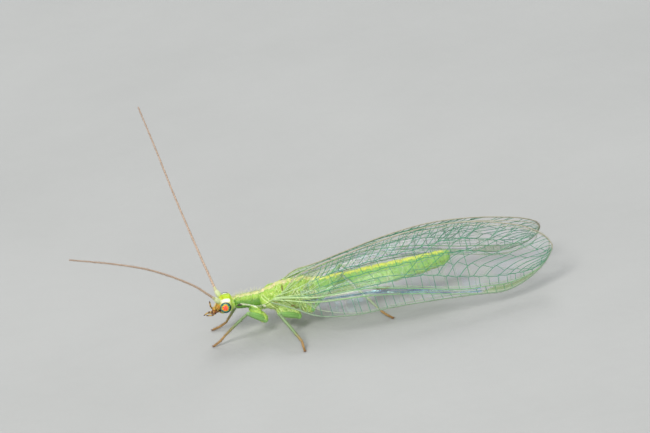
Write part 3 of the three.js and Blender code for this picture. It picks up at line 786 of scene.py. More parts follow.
def head_tint(c, p, ay):
    """Yellow crown, a painted white highlight over the eye, rusty face with a black cheek mark."""
    x, z = p[:, 0], p[:, 2]
    head = smooth(-4.82, -4.88, x)
    c = lay(c, CROWN, head)
    c = lay(c, VERTEX, head * smooth(1.95, 2.1, z) * smooth(-5.5, -5.3, x))
    c = lay(c, EYE_RIM, head * bell(np.hypot(x - EYE[0], z - EYE[2]) - 0.3, 0.06) * smooth(0.3, 0.42, ay))
    # Painted highlight: a white patch on the head above the eye, where the skin catches the light.
    c = lay(c, WHITE, spot(p, (-5.16, 0.37, 2.07), (0.3, 0.17, 0.1)))
    face = head * smooth(-5.38, -5.52, x) * smooth(2.1, 1.9, z)
    c = lay(c, FACE, face)
    blot = np.sin(x * 47 + 2) * np.sin(z * 41) + 0.5 * np.sin(z * 73 + x * 60)
    c = lay(c, RUST, face * smooth(1.98, 1.84, z) * smooth(0.08, 0.22, ay) * smooth(-0.7, 0.1, blot) * 0.95)
    c = lay(c, DARK, face * smooth(1.8, 1.68, z) * smooth(0.08, 0.18, ay) * smooth(-0.3, 0.3, blot) * 0.9)
    c = lay(c, WHITE, face * smooth(-5.62, -5.7, x) * smooth(1.62, 1.76, z) * smooth(0.16, 0.08, ay) * 0.4)
    c = lay(c, DARK, spot(p, (-5.5, 0.36, 1.62), (0.09, 0.14, 0.06)))
    return lay(c, RUST, head * bell(np.hypot(x + 5.42, ay - 0.21) - 0.15, 0.025) * smooth(1.9, 2.0, z) * 0.5)


def body_tint(p, n):
    x, y, z = p.T
    ay, side, up = np.abs(y), np.abs(n[:, 1]), n[:, 2]
    abdomen = smooth(-0.75, -0.45, x)
    c = lay(np.broadcast_to(LIME, (len(p), 3)), MINT, abdomen)
    c = lay(c, PALE, smooth(0.1, -0.7, up) * mix(0.8, 0.45, abdomen))
    c = lay(c, PALE, bell(x + 2.2, 0.9) * smooth(1.9, 1.2, z) * 0.5)
    # Painted shade: the sides of the neck shield, where the skin turns away from the top, are darkened to
    # moss green.
    c = lay(c, PAINTED_NECK_SHADE, smooth(-3.35, -3.5, x) * (x > -4.72) * smooth(0.95, 0.6, up) * smooth(1.4, 1.55, z))
    c = back_tint(c, x, ay, up, abdomen)
    c = flank_tint(c, p, side, up)
    for at, size, colour, amount in MARKS:
        c = lay(c, colour, spot(p, at, size) * amount)
    return head_tint(c, p, ay)


def make_body():
    voxel = 0.022
    verts, faces, edges = remeshed(body_shells(), voxel)
    verts = relaxed(verts, edges, 8)
    n = normals_of(verts, faces)[0]
    verts = verts + n * trunk_shape(verts, n)[:, None]
    n, quads, area = normals_of(verts, faces)
    s = Soup()
    s.add(verts, [], body_tint(verts, n))
    s.faces = faces
    settle(s.object("skin", [SKIN]), "skin_body", *BODY_NODES)
    return verts, n, quads, np.linalg.norm(area, axis=1) / 2


def body_uv(p):
    """The skin rolled out flat: along the body, and round its middle line."""
    turn = np.arctan2(p[:, 1], p[:, 2] - middle_height(p[:, 0]))
    return np.stack([0.03 + 0.94 * (p[:, 0] + 5.9) / 12.3, 0.5 + 0.47 * turn / math.pi], 1)


def by_part(x, head, neck, thorax, abdomen):
    return np.where(x < -4.85, head, np.where(x < -3.4, neck, np.where(x < -0.6, thorax, abdomen)))


def body_coat(verts, n, quads, area):
    """Short hairs on the skin, longest on the neck shield, with none over the eyes."""
    rng = np.random.default_rng(11)
    centre = verts[quads].mean(1)
    up = n[quads].mean(1)
    x, y, z = centre.T
    want = by_part(x, 14, 60, 36, 48)
    want = want * np.where((x < -3.4) & (x > -4.85), smooth(-0.2, 0.7, up[:, 2]) * 1.6 + 0.15, 1.0)
    on_eye = np.linalg.norm(np.stack([x, np.abs(y), z], 1) - EYE, axis=1) < 0.3
    want = np.where(on_eye, 0, want)
    chosen = rng.random(len(want)) < want * area
    p, m = centre[chosen], unit(up[chosen])
    k, px = len(p), p[:, 0]
    long = by_part(px, 0.09, 0.26, 0.17, 0.13) * (0.6 + 0.7 * rng.random(k))
    lean = np.where(px < -0.6, 0.35, 0.9)[:, None]
    way = m + lean * np.array([1.0, 0, 0]) + 0.25 * rng.normal(size=(k, 3))
    tint = np.where((px < -3.4)[:, None], srgb(226, 226, 190), srgb(206, 222, 160))
    s = Soup()
    s.hairs(p, way, long, 0.0055, tint, body_uv(p))
    settle(s.object("coat_body", [HAIR], coat=True), "skin_body", *BODY_NODES)


# Eyes

def make_eye(side):
    s = Soup()
    s.ball(EYE * (1, SIDES[side], 1), (EYE_R, EYE_R * 0.98, EYE_R), 64, 40)
    settle(s.object("eye_" + side + "_ball", [eye_material(side)]), "eye", "eye_" + side)


# Mouthparts

STRAW = srgb(190, 156, 92)
BROWN = srgb(78, 44, 22)
LIPS = [
    ((-5.77, 0, 1.6), (0.12, 0.16, 0.1), 24, 14, srgb(206, 160, 66)),
    ((-5.84, 0, 1.52), (0.1, 0.13, 0.08), 24, 14, srgb(150, 96, 40)),
]
PALPS = [
    [(-5.78, -0.12, 1.43), (-5.9, -0.19, 1.52), (-6.04, -0.2, 1.56), (-6.2, -0.2, 1.5), (-6.38, -0.2, 1.41)],
    [(-5.78, 0.12, 1.43), (-5.92, 0.17, 1.55), (-5.97, 0.17, 1.66), (-5.97, 0.17, 1.8), (-5.97, 0.17, 1.96)],
    [(-5.76, -0.07, 1.37), (-5.9, -0.11, 1.31), (-6.06, -0.13, 1.32), (-6.26, -0.13, 1.35)],
    [(-5.76, 0.07, 1.37), (-5.9, 0.11, 1.31), (-6.06, 0.13, 1.32), (-6.22, 0.13, 1.38)],
]


def make_mouth():
    s = Soup()
    for lip in LIPS:
        s.ball(*lip)
    for k in (-1, 1):
        jaw = Spline([(-5.78, k * 0.15, 1.5), (-5.9, k * 0.16, 1.43), (-5.99, k * 0.06, 1.4)]).even(10)
        s.tube(jaw, np.linspace(0.06, 0.02, 10), srgb(150, 84, 34), 10)
        s.ball((-5.68, k * 0.1, 1.46), (0.15, 0.09, 0.07), 20, 12, srgb(120, 74, 32))
    t = np.linspace(0, 1, 9)
    stripe = smooth(0.3, 0.75, t)[:, None]
    for points in PALPS:
        for end in range(1, len(points)):
            last = end == len(points) - 1
            r = (0.036 + 0.010 * np.sin(math.pi * t)) * (1 - 0.6 * t ** 2 if last else 1.0)
            tint = mix(STRAW, BROWN, stripe) if last else mix(BROWN, STRAW, stripe)
            s.tube(resample(points[end - 1:end + 1], 9), r, tint, 12)
    settle(s.object("mouth", [LIMB]), "mouth", "mouthparts")


# Feelers

FEELER_PATHS = {
    "left": [
        (-5.66, -0.32, 2.29), (-5.76, -0.44, 2.46), (-6.49, -1.06, 3.57), (-8.15, -2.42, 5.42),
        (-9.69, -3.67, 6.72), (-11.74, -5.35, 8.23),
    ],
    "right": [
        (-5.55, 0.29, 2.41), (-5.6, 0.42, 2.6), (-6.08, 1.19, 4.53), (-6.69, 2.26, 7.17),
        (-7.07, 3.03, 9.04), (-7.59, 4.01, 11.43),
    ],
}
SCAPES = {
    "left": [(-5.4, -0.19, 1.96), (-5.52, -0.25, 2.1), (-5.65, -0.31, 2.27)],
    "right": [(-5.38, 0.16, 2.09), (-5.46, 0.2, 2.24), (-5.54, 0.28, 2.39)],
}
TAN = srgb(214, 188, 164)
TAN_DARK = srgb(126, 98, 78)
SCAPE = srgb(190, 206, 142)
FEELER_RINGS = 76
FEELER_HAIRS = 1500


def hair_spots(rng, path, r, first, last, count, sunk):
    """Random spots round a bar: index, angle, way out, way along, and the point itself."""
    t, n, b = frames_along(path)
    at = rng.integers(first, last, count)
    a = rng.random(count) * 2 * math.pi
    out = np.cos(a)[:, None] * n[at] + np.sin(a)[:, None] * b[at]
    return at, a, out, t[at], path[at] + out * (r[at] * sunk)[:, None]


def make_feelers():
    rng = np.random.default_rng(5)
    coat = Soup()
    t = np.linspace(0, 1, 12)
    run = np.linspace(0, 1, 900)
    f = (run * FEELER_RINGS) % 1.0
    gap = np.minimum(f, 1 - f)
    r = mix(0.057, 0.03, run ** 0.8) * (1 - 0.16 * bell(gap, 0.09))
    tint = mix(TAN * mix(1.0, 0.85, run)[:, None], TAN_DARK, 0.55 * bell(gap, 0.16)[:, None])
    for index, (side, points) in enumerate(FEELER_PATHS.items()):
        s = Soup()
        base = Spline(SCAPES[side]).even(12)
        s.tube(base, 0.105 + 0.03 * np.sin(math.pi * t), mix(SCAPE, WHITE, 0.25 * t[:, None]), 20)
        lash = Spline(points)
        s.tube(lash.even(200)[:5], np.linspace(0.075, 0.07, 5), mix(SCAPE, TAN, 0.4), 16)
        path = lash.even(900)
        s.tube(path, r, tint, 8)
        settle(s.object("feeler_" + side, [FEELER]), "feeler", "antenna_" + side)
        at, a, out, along, roots = hair_spots(rng, path, r, 8, 895, FEELER_HAIRS, 0.9)
        uv = np.stack([0.05 + 0.9 * run[at], 0.2 + 0.5 * index + 0.2 * a / 6.3], 1)
        long = 0.05 + 0.03 * rng.random(FEELER_HAIRS)
        coat.hairs(roots, out * 0.8 + along, long, 0.004, TAN_DARK * 1.3, uv, fine=True)
    settle(coat.object("coat_feelers", [HAIR], coat=True), "feeler", "antenna_left", "antenna_right")


# Legs. The points are root, knee, ankle and toe on the left side.

FORE = [(-3.38, -0.76, 0.82), (-4.14, -1.3, 1.6), (-5.49, -1.0, 0.5), (-6.12, -1.04, 0.07)]
FAR_FORE = [(-3.38, -0.76, 0.82), (-4.4, -0.98, 1.4), (-5.42, -0.86, 0.3), (-6.12, -0.78, 0.07)]
MIDDLE = [(-1.69, -0.97, 0.77), (-2.59, -1.73, 1.44), (-1.7, -3.08, 0.42), (-1.65, -3.42, 0.07)]
HIND = [(-0.93, -0.96, 1.0), (0.82, -0.58, 2.37), (2.36, -1.24, 0.36), (2.88, -1.7, 0.07)]
# Joints, side, radius of thigh and shin, and where the brown of the foot begins on the shin.
LEGS = {
    "leg_fore_left": (FORE, -1, 0.155, 0.062, 0.4),
    "leg_fore_right": (FAR_FORE, 1, 0.145, 0.06, 0.4),
    "leg_mid_left": (MIDDLE, -1, 0.145, 0.068, 0.62),
    "leg_mid_right": (MIDDLE, 1, 0.145, 0.068, 0.62),
    "leg_hind_left": (HIND, -1, 0.105, 0.064, 0.85),
    "leg_hind_right": (HIND, 1, 0.105, 0.064, 0.85),
}
# Points round, dark lines and their depth: thigh, shin, and the five joints of the foot.
LEG_LINES = [(20, 5, 0.2), (20, 3, 0.28)] + [(12, 0, 0.0)] * 5
FOOT_CUTS = [0, 34, 54, 68, 80, 100]
BOW = np.array([0, 0, 0.06])
THIGH = srgb(142, 194, 104)
SHIN = srgb(134, 160, 112)
HIND_SHIN = srgb(182, 202, 156)
FOOT = srgb(176, 136, 80)
CLAW = srgb(128, 88, 48)
LEG_HAIR = srgb(120, 100, 70)


def leg_parts(hind, joints, thigh_r, shin_r, fade):
    """Thigh, shin and the five joints of the foot, each as path, radius and tint."""
    turn, knee, ankle, toe = joints
    hip = turn + unit(turn - knee) * 0.05
    path = Spline([hip, mix(turn, knee, 0.45) + BOW * 0.6, knee]).even(40)
    t = np.linspace(0, 1, 40)
    shape = mix(0.72, 0.62, t) + 0.38 * np.sin(math.pi * np.clip(t * 1.05, 0, 1)) ** 0.8
    parts = [(path, thigh_r * shape, mix(THIGH, SHIN, smooth(0.75, 1.0, t)[:, None] * 0.5))]
    path = Spline([knee, mix(knee, ankle, 0.5) + BOW * 0.4, ankle]).even(60)
    t = np.linspace(0, 1, 60)
    wave = np.sin(math.pi * t)
    swell = 0.75 + 0.5 * wave if hind else 1.0 + 0.28 * wave - 0.25 * smooth(0.08, 0.0, t)
    tint = mix(HIND_SHIN if hind else SHIN, FOOT, smooth(fade, 1.0, t)[:, None] * 0.85)
    parts.append((path, shin_r * swell * mix(1, 0.8, t), tint))
    drop = mix(ankle, toe, 0.5) - np.array([0, 0, 0.04])
    line = Spline([ankle, drop, toe]).even(101)
    t = np.linspace(0, 1, 9)
    for a, b in zip(FOOT_CUTS[:-1], FOOT_CUTS[1:]):
        parts.append((resample(line[a:b + 1], 9), mix(0.044, 0.06, t), mix(FOOT, CLAW, 0.35 * (a > 60))))
    return parts


def leg_hairs(coat, rng, index, i, path, r, tint):
    """Hairs on part i of a leg, left off where they would reach the floor."""
    count = int(length_of(path) * (150 if i else 110))
    at, a, out, along, roots = hair_spots(rng, path, r, 0, len(path), count, 0.95)
    way = out * 0.8 + along * 0.9
    keep = roots[:, 2] + unit(way)[:, 2] * 0.115 > 0.004
    uv = np.stack([0.04 + 0.92 * (i + at / len(path)) / len(LEG_LINES), (index + 0.1 + 0.8 * a / 6.3) / 6], 1)
    hair = mix(np.broadcast_to(tint, (len(path), 3))[at], LEG_HAIR, 0.45)
    long = (0.085 if i else 0.07) * (0.7 + 0.6 * rng.random(count))
    coat.hairs(roots[keep], way[keep], long[keep], 0.005, hair[keep], uv[keep], fine=True)


def add_claws(s, ankle, toe):
    ahead = unit((toe - ankle) * (1, 1, 0))
    across = np.array([-ahead[1], ahead[0], 0])
    s.ball(toe + ahead * 0.05 - np.array([0, 0, 0.015]), (0.05, 0.05, 0.035), 16, 10, CLAW)
    for k in (-1, 1):
        claw = Spline([toe + ahead * 0.03, toe + ahead * 0.1 + across * k * 0.06 + (0, 0, 0.01),
                       toe + ahead * 0.14 + across * k * 0.08 + (0, 0, -0.035)]).even(8)
        s.tube(claw, np.linspace(0.02, 0.006, 8), CLAW, 8)


def make_legs():
    rng = np.random.default_rng(7)
    coat = Soup()
    for index, (name, (points, side, thigh_r, shin_r, fade)) in enumerate(LEGS.items()):
        s = Soup()
        joints = [np.array(p) * (1, -side, 1) for p in points]
        s.ball(joints[0], [0.15 if thigh_r > 0.12 else 0.12] * 3, 24, 14, THIGH)
        parts = leg_parts("hind" in name, joints, thigh_r, shin_r, fade)
        for i, ((path, r, tint), (around, stripes, depth)) in enumerate(zip(parts, LEG_LINES)):
            s.tube(path, r, tint, around, stripes, depth)
            leg_hairs(coat, rng, index, i, path, r, tint)
        add_claws(s, *joints[2:])
        settle(s.object(name + "_limb", [LIMB]), "leg", name)
    settle(coat.object("coat_legs", [HAIR], coat=True), "leg", *LEGS)


# Wings: each point is placed by u, root to tip, and v, from the inner rim on the ridge to the outer rim.

INNER = [(-1.9, -0.72, 2.46), (-1.4, -0.37, 2.7), (-0.5, -0.2, 2.87), (1.1, -0.18, 3.21),
         (3.3, -0.18, 3.64), (5.5, -0.18, 3.85), (7.6, -0.22, 3.68), (9.3, -0.36, 3.27),
         (10.4, -0.58, 2.84), (11.1, -0.86, 2.34)]
OUTER = [(-2.25, -1.19, 1.75), (-1.57, -1.6, 1.38), (-0.63, -2.1, 1.1), (1.2, -2.62, 1.05),
         (3.1, -2.72, 1.12), (5.2, -2.68, 1.03), (7.2, -2.52, 0.82), (8.7, -2.25, 0.57),
         (9.9, -1.88, 0.78), (10.85, -1.46, 1.24)]
WING_TIP = (11.4, -1.16, 1.8)
BULGE, SKEW = 0.4, 1.15
INNER_RIM, OUTER_RIM = Spline(INNER + [WING_TIP]), Spline(OUTER + [WING_TIP])


def roof(u, v, off):
    u, v = np.asarray(u, float), np.asarray(v, float)
    p, q = INNER_RIM.at(u), OUTER_RIM.at(u)
    d = q - p
    n = unit(np.stack([np.zeros_like(u), d[..., 2], -d[..., 1]], -1))
    n = np.where(n[..., 2:] < 0, -n, n)
    arc = np.maximum(np.sin(math.pi * np.minimum(1, u * 1.05)), 0) ** 0.6
    rise = BULGE * arc * np.sin(math.pi * np.clip(v, 0, 1) ** SKEW)
    return p + d * v[..., None] + n * (rise + off)[..., None]


FORE_ROOT = [(-2.05, -0.62, 2.2), (-2.62, -0.68, 1.94), (-3.0, -0.66, 1.68)]
HIND_ROOT = np.array([-1.28, -0.66, 2.04])


def tip_set(p, u, side):
    """Both tips rise a little, and the far pair is held a little further forward."""
    p = p + np.stack([0 * u, 0 * u, 0.2 * u ** 3], -1)
    return p - np.stack([0.4 * u ** 3, 0 * u, -0.05 * u ** 2], -1) if side > 0 else p


def fore_place(u, v, side, off=0.0):
    u, v = np.asarray(u, float), np.asarray(v, float)
    pleat = 0.018 * np.sin(v * 31) * smooth(0.0, 0.2, u) * smooth(1.0, 0.8, u)
    p = tip_set(roof(u, v, 0.02 + pleat + off), u, side)
    root = Spline(FORE_ROOT).at(v)
    p = root + (p - root) * smooth(-0.01, 0.13, u)[..., None]
    return p * np.array([1, -side, 1])


def hind_place(u, v, side, off=0.0):
    u, v = np.asarray(u, float), np.asarray(v, float)
    w = np.clip(u, 0, 1)
    uu = mix(0.06, 0.958, w)
    first = mix(0.5, 0.035, smooth(0.0, 0.22, w))
    last = mix(0.72, 0.94, smooth(0.0, 0.3, w))
    vv = mix(first, last, v)
    under = mix(-0.13, -0.4, smooth(0.02, 0.34, vv)) * smooth(1.03, 0.9, w)
    pleat = 0.015 * np.sin(v * 27) * smooth(0.0, 0.2, w) * smooth(1.0, 0.8, w)
    p = tip_set(roof(uu, vv, under + pleat + off), uu, side)
    grow = mix(0.12, 1.0, smooth(0.0, 0.14, w))[..., None]
    p = HIND_ROOT + (p - HIND_ROOT) * grow
    return p * np.array([1, -side, 1])


def track(points):
    dense = Spline(points).at(np.linspace(0, 1, 30 * len(points)))
    return lambda u: np.interp(u, dense[:, 0], dense[:, 1])


# Long veins, as v by u: subcosta, first radius, radial sector, media and cubitus.
SC = track([
    (0.0, 0.8), (0.1, 0.77), (0.197, 0.745), (0.273, 0.745), (0.326, 0.765), (0.383, 0.821),
    (0.451, 0.883), (0.517, 0.938), (0.587, 0.985), (0.62, 1.0),
])
R1 = track([
    (0.0, 0.7), (0.1, 0.67), (0.219, 0.656), (0.275, 0.635), (0.323, 0.655), (0.419, 0.775),
    (0.518, 0.882), (0.587, 0.92), (0.64, 0.905), (0.7, 0.9), (0.76, 0.915), (0.82, 0.945), (0.88, 1.0),
])
RS = track([
    (0.28, 0.636), (0.33, 0.642), (0.405, 0.650), (0.456, 0.650), (0.505, 0.698), (0.56, 0.752),
    (0.62, 0.776), (0.678, 0.778), (0.732, 0.792), (0.798, 0.85), (0.87, 0.92), (0.915, 1.0),
])
MP = track([
    (0.0, 0.62), (0.09, 0.6), (0.16, 0.53), (0.22, 0.47), (0.303, 0.428), (0.392, 0.452), (0.46, 0.451),
    (0.528, 0.425), (0.60, 0.405),
])
CU = track([
    (0.0, 0.5), (0.1, 0.4), (0.18, 0.3), (0.281, 0.245), (0.354, 0.275), (0.409, 0.282), (0.462, 0.284),
    (0.5, 0.262), (0.544, 0.235), (0.6, 0.23),
])
# Two rows of cross-veins between the branches of the sector.
INNER_GRADE = track([(0.58, 0.4), (0.64, 0.42), (0.7, 0.47), (0.76, 0.54), (0.82, 0.62), (0.88, 0.72)])
OUTER_GRADE = track([(0.58, 0.23), (0.66, 0.235), (0.74, 0.28), (0.82, 0.36), (0.88, 0.46), (0.93, 0.6)])

MARGIN_TINT = srgb(164, 160, 138)
COSTA_TINT = srgb(126, 150, 122)
MAIN_TINT = srgb(124, 172, 116)
TEAL_TINT = srgb(66, 140, 104)
ROOT_TINT = srgb(204, 228, 160)

# Points of the arched vein between the media and the first radius.
ARCH = np.array([(0.0, 0.66), (0.13, 0.62), (0.2, 0.575), (0.289, 0.535), (0.376, 0.56), (0.42, 0.6),
                 (0.456, 0.645)])
ROOT_VEINS = [
    [(0.02, 0.42), (0.08, 0.28), (0.14, 0.14), (0.19, 0.0)],
    [(0.02, 0.34), (0.07, 0.18), (0.11, 0.07), (0.14, 0.0)],
    [(0.02, 0.24), (0.05, 0.1), (0.08, 0.0)],
]
# Where the cross-veins before the radial sector stand, in u.
FORE_RUNGS = [0.365, 0.403, 0.435, 0.47, 0.5, 0.53, 0.556, 0.583, 0.612, 0.642, 0.672, 0.703, 0.737, 0.775,
              0.82, 0.87]
HIND_RUNGS = [0.38, 0.43, 0.475, 0.518, 0.56, 0.6, 0.642, 0.685, 0.73, 0.78, 0.84]
FILM_STEPS = [5, 4, 5, 4, 5]  # steps of the film from rim to rim, between its long veins
LAST_U = 0.985  # where film and rims end
WING_HAIR = srgb(110, 96, 70)
RIM_HAIRS, FACE_HAIRS = (0.05, 0.075), (0.16, 0.06)  # mm from hair to hair, and their length
VEIN_STEP = 0.11  # mm from ring to ring of a vein
HIND_THIN = 0.62  # how thick a vein of the hindwing is beside one of the forewing
KINK = 0.007  # how far a vein steps aside where a cross-vein meets it, in v

# Branches of the radial sector, each from the sector to the rim in u and v, and the rim end of its fork.
BRANCHES = [
    ([(0.43, 0.65), (0.455, 0.52), (0.485, 0.37), (0.53, 0.2), (0.575, 0.0)], (0.593, 0.0)),
    ([(0.472, 0.67), (0.498, 0.55), (0.528, 0.43), (0.565, 0.25), (0.61, 0.12), (0.635, 0.0)],
      (0.655, 0.0)),
    ([(0.509, 0.7), (0.535, 0.54), (0.563, 0.44), (0.605, 0.36), (0.648, 0.25), (0.672, 0.127),
      (0.69, 0.0)], (0.715, 0.0)),
    ([(0.533, 0.73), (0.567, 0.526), (0.612, 0.43), (0.65, 0.327), (0.704, 0.19), (0.765, 0.0)],
      (0.745, 0.0)),
    ([(0.561, 0.752), (0.59, 0.605), (0.625, 0.53), (0.661, 0.471), (0.7, 0.379), (0.749, 0.28),
      (0.803, 0.164), (0.86, 0.0)], (0.81, 0.0)),
    ([(0.596, 0.765), (0.626, 0.627), (0.661, 0.557), (0.7, 0.5), (0.757, 0.4), (0.85, 0.27),
      (0.93, 0.0)], (0.9, 0.0)),
    ([(0.632, 0.777), (0.668, 0.635), (0.705, 0.571), (0.757, 0.532), (0.804, 0.5), (0.87, 0.46),
      (0.985, 0.3)], (0.968, 0.0)),
    ([(0.674, 0.777), (0.71, 0.68), (0.76, 0.61), (0.826, 0.59), (0.9, 0.61), (0.985, 0.62)],
      (0.985, 0.47)),
    ([(0.712, 0.785), (0.75, 0.71), (0.8, 0.675), (0.87, 0.69), (0.93, 0.75), (0.982, 0.93)],
      (0.985, 0.78)),
    ([(0.75, 0.806), (0.785, 0.75), (0.83, 0.74), (0.89, 0.79), (0.962, 1.0)], (0.975, 1.0)),
    ([(0.79, 0.842), (0.82, 0.8), (0.87, 0.83), (0.94, 1.0)], (0.952, 1.0)),
    ([(0.83, 0.88), (0.86, 0.87), (0.92, 1.0)], (0.931, 1.0)),
]


def meet(line, grade):
    """Index of the point of a branch nearest to where it crosses a graded row."""
    return int(np.argmin(np.abs(line[:, 1] - grade(line[:, 0]))))


def follow(f, a, b, count=60):
    u = np.linspace(a, b, count)
    return np.stack([u, f(u)], 1)


def arch(u):
    return np.interp(u, ARCH[:, 0], ARCH[:, 1])


def long_veins(rungs, branches):
    """Rims, and the veins that run the length of the wing."""
    rim = np.linspace(0.02, LAST_U, 160)
    veins = [
        (np.stack([rim, np.ones(160)], 1), 0.036, 0.032, COSTA_TINT),
        (np.stack([rim, np.zeros(160)], 1), 0.034, 0.032, MARGIN_TINT),
        (np.stack([np.full(20, LAST_U), np.linspace(0, 1, 20)], 1), 0.032, 0.032, MARGIN_TINT),
        (follow(SC, 0.0, 0.615), 0.032, 0.02, MAIN_TINT),
        (follow(R1, 0.0, 0.88), 0.04, 0.02, MAIN_TINT),
    ]
    for f, r in ((MP, 0.024), (CU, 0.026)):
        base = follow(f, 0.0, 0.6, 70)
        u = base[:, 0]
        base[:, 1] += KINK * np.sign(np.sin(u * 2 * math.pi / 0.045)) * smooth(0.15, 0.3, u)
        veins.append((base, r, 0.017, TEAL_TINT))
    joints = sorted([(u, KINK) for u in rungs] + [(points[0][0], -KINK) for points, fork in branches])
    sector = [(0.28, RS(0.28))] + [(u, RS(u) + k) for u, k in joints if 0.33 < u < 0.9] + [(0.915, 1.0)]
    return veins + [(np.array(sector), 0.022, 0.016, TEAL_TINT), (ARCH, 0.022, 0.015, TEAL_TINT)]


def network(rng, costal, rungs, branches, slants):
    """Veins of one wing as (points in u and v, radius at both ends in mm, tint)."""
    veins = long_veins(rungs, branches)
    add = lambda points, r0, r1: veins.append((np.array(points), r0, r1, TEAL_TINT))
    cross = lambda a, b, r=0.0125: add([a, b], r, r)
    for u in costal:
        cross((u, SC(u)), (u + 0.006, 1.0), 0.013)
    for u in (0.1, 0.6, 0.63, 0.66, 0.69, 0.72):
        cross((u, R1(u)), (u + 0.006, SC(u) if u < 0.6 else 1.0))
    for u in rungs:
        cross((u, RS(u)), (u + 0.003, R1(u) if u < 0.88 else 1.0), 0.0135)
    # branches of the sector, forked before the rim
    lines = [Spline(points).at(np.linspace(0, 1, 25)) for points, fork in branches]
    for b, (points, fork) in zip(lines, branches):
        add(b, 0.0175, 0.013)
        add([b[18], mix(b[18], np.array(fork), 0.5) + (0.002, 0.0), fork], 0.013, 0.012)
    pairs = list(zip(lines[:-1], lines[1:]))
    for grade in (INNER_GRADE, OUTER_GRADE):
        for a, b in pairs:
            i, j = meet(a, grade), meet(b, grade)
            if 1 < i < 22 and 1 < j < 22:
                cross(a[i], b[j - 1], 0.014)
    for a, b in pairs:
        cross(a[4], b[3])
    for u in np.arange(0.12, 0.6, 0.042):
        u += rng.uniform(-0.004, 0.004)
        cross((u, CU(u)), (u + 0.008, MP(u + 0.008)), 0.0135)
    for u in np.arange(0.15, 0.45, 0.05):
        cross((u, MP(u)), (u + 0.01, arch(u + 0.01)))
    for u in (0.17, 0.24, 0.31, 0.37):
        cross((u, arch(u)), (u + 0.006, R1(u) if u < 0.3 else RS(u)))
    for u in (0.475, 0.505, 0.54, 0.575):
        cross((u, MP(u)), (u + 0.012, mix(MP(u), RS(u), 0.98)))
    # slanting veins to the inner rim, every second one forked
    for k, u in enumerate(slants):
        top = np.array([u + 0.03, 0.0])
        foot = np.array([u, CU(u) if u < 0.6 else OUTER_GRADE(u)])
        middle = mix(foot, top, 0.5) + (0.004, 0.0)
        add([foot, middle, top], 0.0165, 0.0125)
        if k % 2:
            add([middle, mix(middle, top, 0.5) + (0.008, 0.004), top + (0.011, 0.0)], 0.0115, 0.0105)
    for points in ROOT_VEINS:
        add(points, 0.018, 0.013)
    return veins


def columns(u):
    """Places across the wing at u: rim, the four long veins, rim, with a few steps between."""
    sc, r = float(SC(min(u, 0.62))), float(R1(min(u, 0.88)))
    cu, m = float(CU(min(u, 0.6))), float(MP(min(u, 0.6)))
    keys = [0, cu, m, min(r, 0.985), min(sc, 0.993) if sc > r else r + 0.004, 1.0]
    if u > 0.62:
        keys[4] = mix(keys[3], 1, 0.5)
    v = [0.0]
    for a, b, k in zip(keys[:-1], keys[1:], FILM_STEPS):
        v += list(np.linspace(a, b, k + 1)[1:])
    return v


def membrane(place, side, shrink):
    """Open sheet of the wing, its columns set so that the painted blue sheen strip and the stigma have clean
    edges.
    """
    us = np.concatenate([np.linspace(0, 0.15, 16)[:-1], np.linspace(0.15, LAST_U, 160)])
    v = np.array([columns(u) for u in us])
    wide = v.shape[1]
    grid = place(np.repeat(us[:, None], wide, 1), v, side)
    faces, slots = [], []
    first, last = sum(FILM_STEPS[:3]), sum(FILM_STEPS[:4])
    for i in range(len(us) - 1):
        u = (us[i] + us[i + 1]) / 2
        edge = first + shrink + np.interp(u, [0.6, 0.66, 0.8, 0.88], [8, 0, 0, 8])
        for j in range(wide - 1):
            a = i * wide + j
            faces.append([a, a + 1, a + wide + 1, a + wide])
            # Painted sheen: a half-clear dark blue strip between the first radius and the subcosta stands in
            # for the blue glint of the film there.
            sheen_strip = (first + 2 <= j < last - (u < 0.42 or u > 0.54)) and 0.12 < u < 0.62
            slots.append(1 if sheen_strip else 2 if j >= edge and 0.6 < u < 0.88 else 0)
    s = Soup()
    s.add(grid.reshape(-1, 3), [], BARE)
    s.faces = faces
    return s, slots


def drawn(points):
    """Run of points through the few that a vein is given by."""
    if len(points) >= 20:
        return points
    if len(points) == 2:
        return resample(points, 8)
    return Spline(points).at(np.linspace(0, 1, 12 if len(points) == 3 else 8 * len(points)))


def add_vein(lines, coat, rng, place, side, hind, vein):
    """One round vein on the wing and its hairs, which stand out from the rim or on both faces."""
    points, r0, r1, tint = vein
    dense = drawn(points)
    steps = np.linspace(0, 1, len(dense))
    path = place(dense[:, 0], dense[:, 1], side)
    length = length_of(path)
    count = max(3, int(length / VEIN_STEP) + 1)
    r = np.linspace(r0, r1, count) * (HIND_THIN if hind else 1.0)
    rim = tint is MARGIN_TINT or tint is COSTA_TINT
    u = np.interp(np.linspace(0, 1, count), steps, dense[:, 0])
    pale = smooth(0.3 if tint is MAIN_TINT else 0.2, 0.05, u) * (0.25 if rim else 0.8)
    shade = mix(mix(tint, WHITE, 0.25 if hind else 0.0), ROOT_TINT, pale[:, None])
    lines.tube(resample(path, count), r, shade, 6)
    apart, reach = RIM_HAIRS if rim else FACE_HAIRS
    hairs = int(length / apart)
    if not hairs:
        return
    at = rng.uniform(0, 1, hairs)
    u, v = (np.interp(at, steps, dense[:, k]) for k in (0, 1))
    root = place(u, v, side)
    lift = unit(place(u, v, side, 0.1) - root)
    along = unit(place(np.minimum(u + 0.01, 0.99), v, side) - root)
    away = unit(place(u, v + 0.02, side) - place(u, v - 0.02, side)) * np.where(v[:, None] < 0.5, -1, 1)
    flip = rng.choice([-1, 1], hairs)[:, None]
    way = away + along * 0.7 + lift * 0.15 * flip if rim else lift * flip + along * 0.6
    uv = np.stack([0.03 + 0.44 * u + 0.5 * (side > 0), 0.03 + 0.44 * v + 0.5 * hind], 1)
    long = reach * (0.7 + 0.6 * rng.random(hairs))
    start = root + unit(way) * (r.mean() * 0.7)
    coat.hairs(start, way, long, 0.0042, mix(tint, WING_HAIR, 0.5), uv, fine=True)


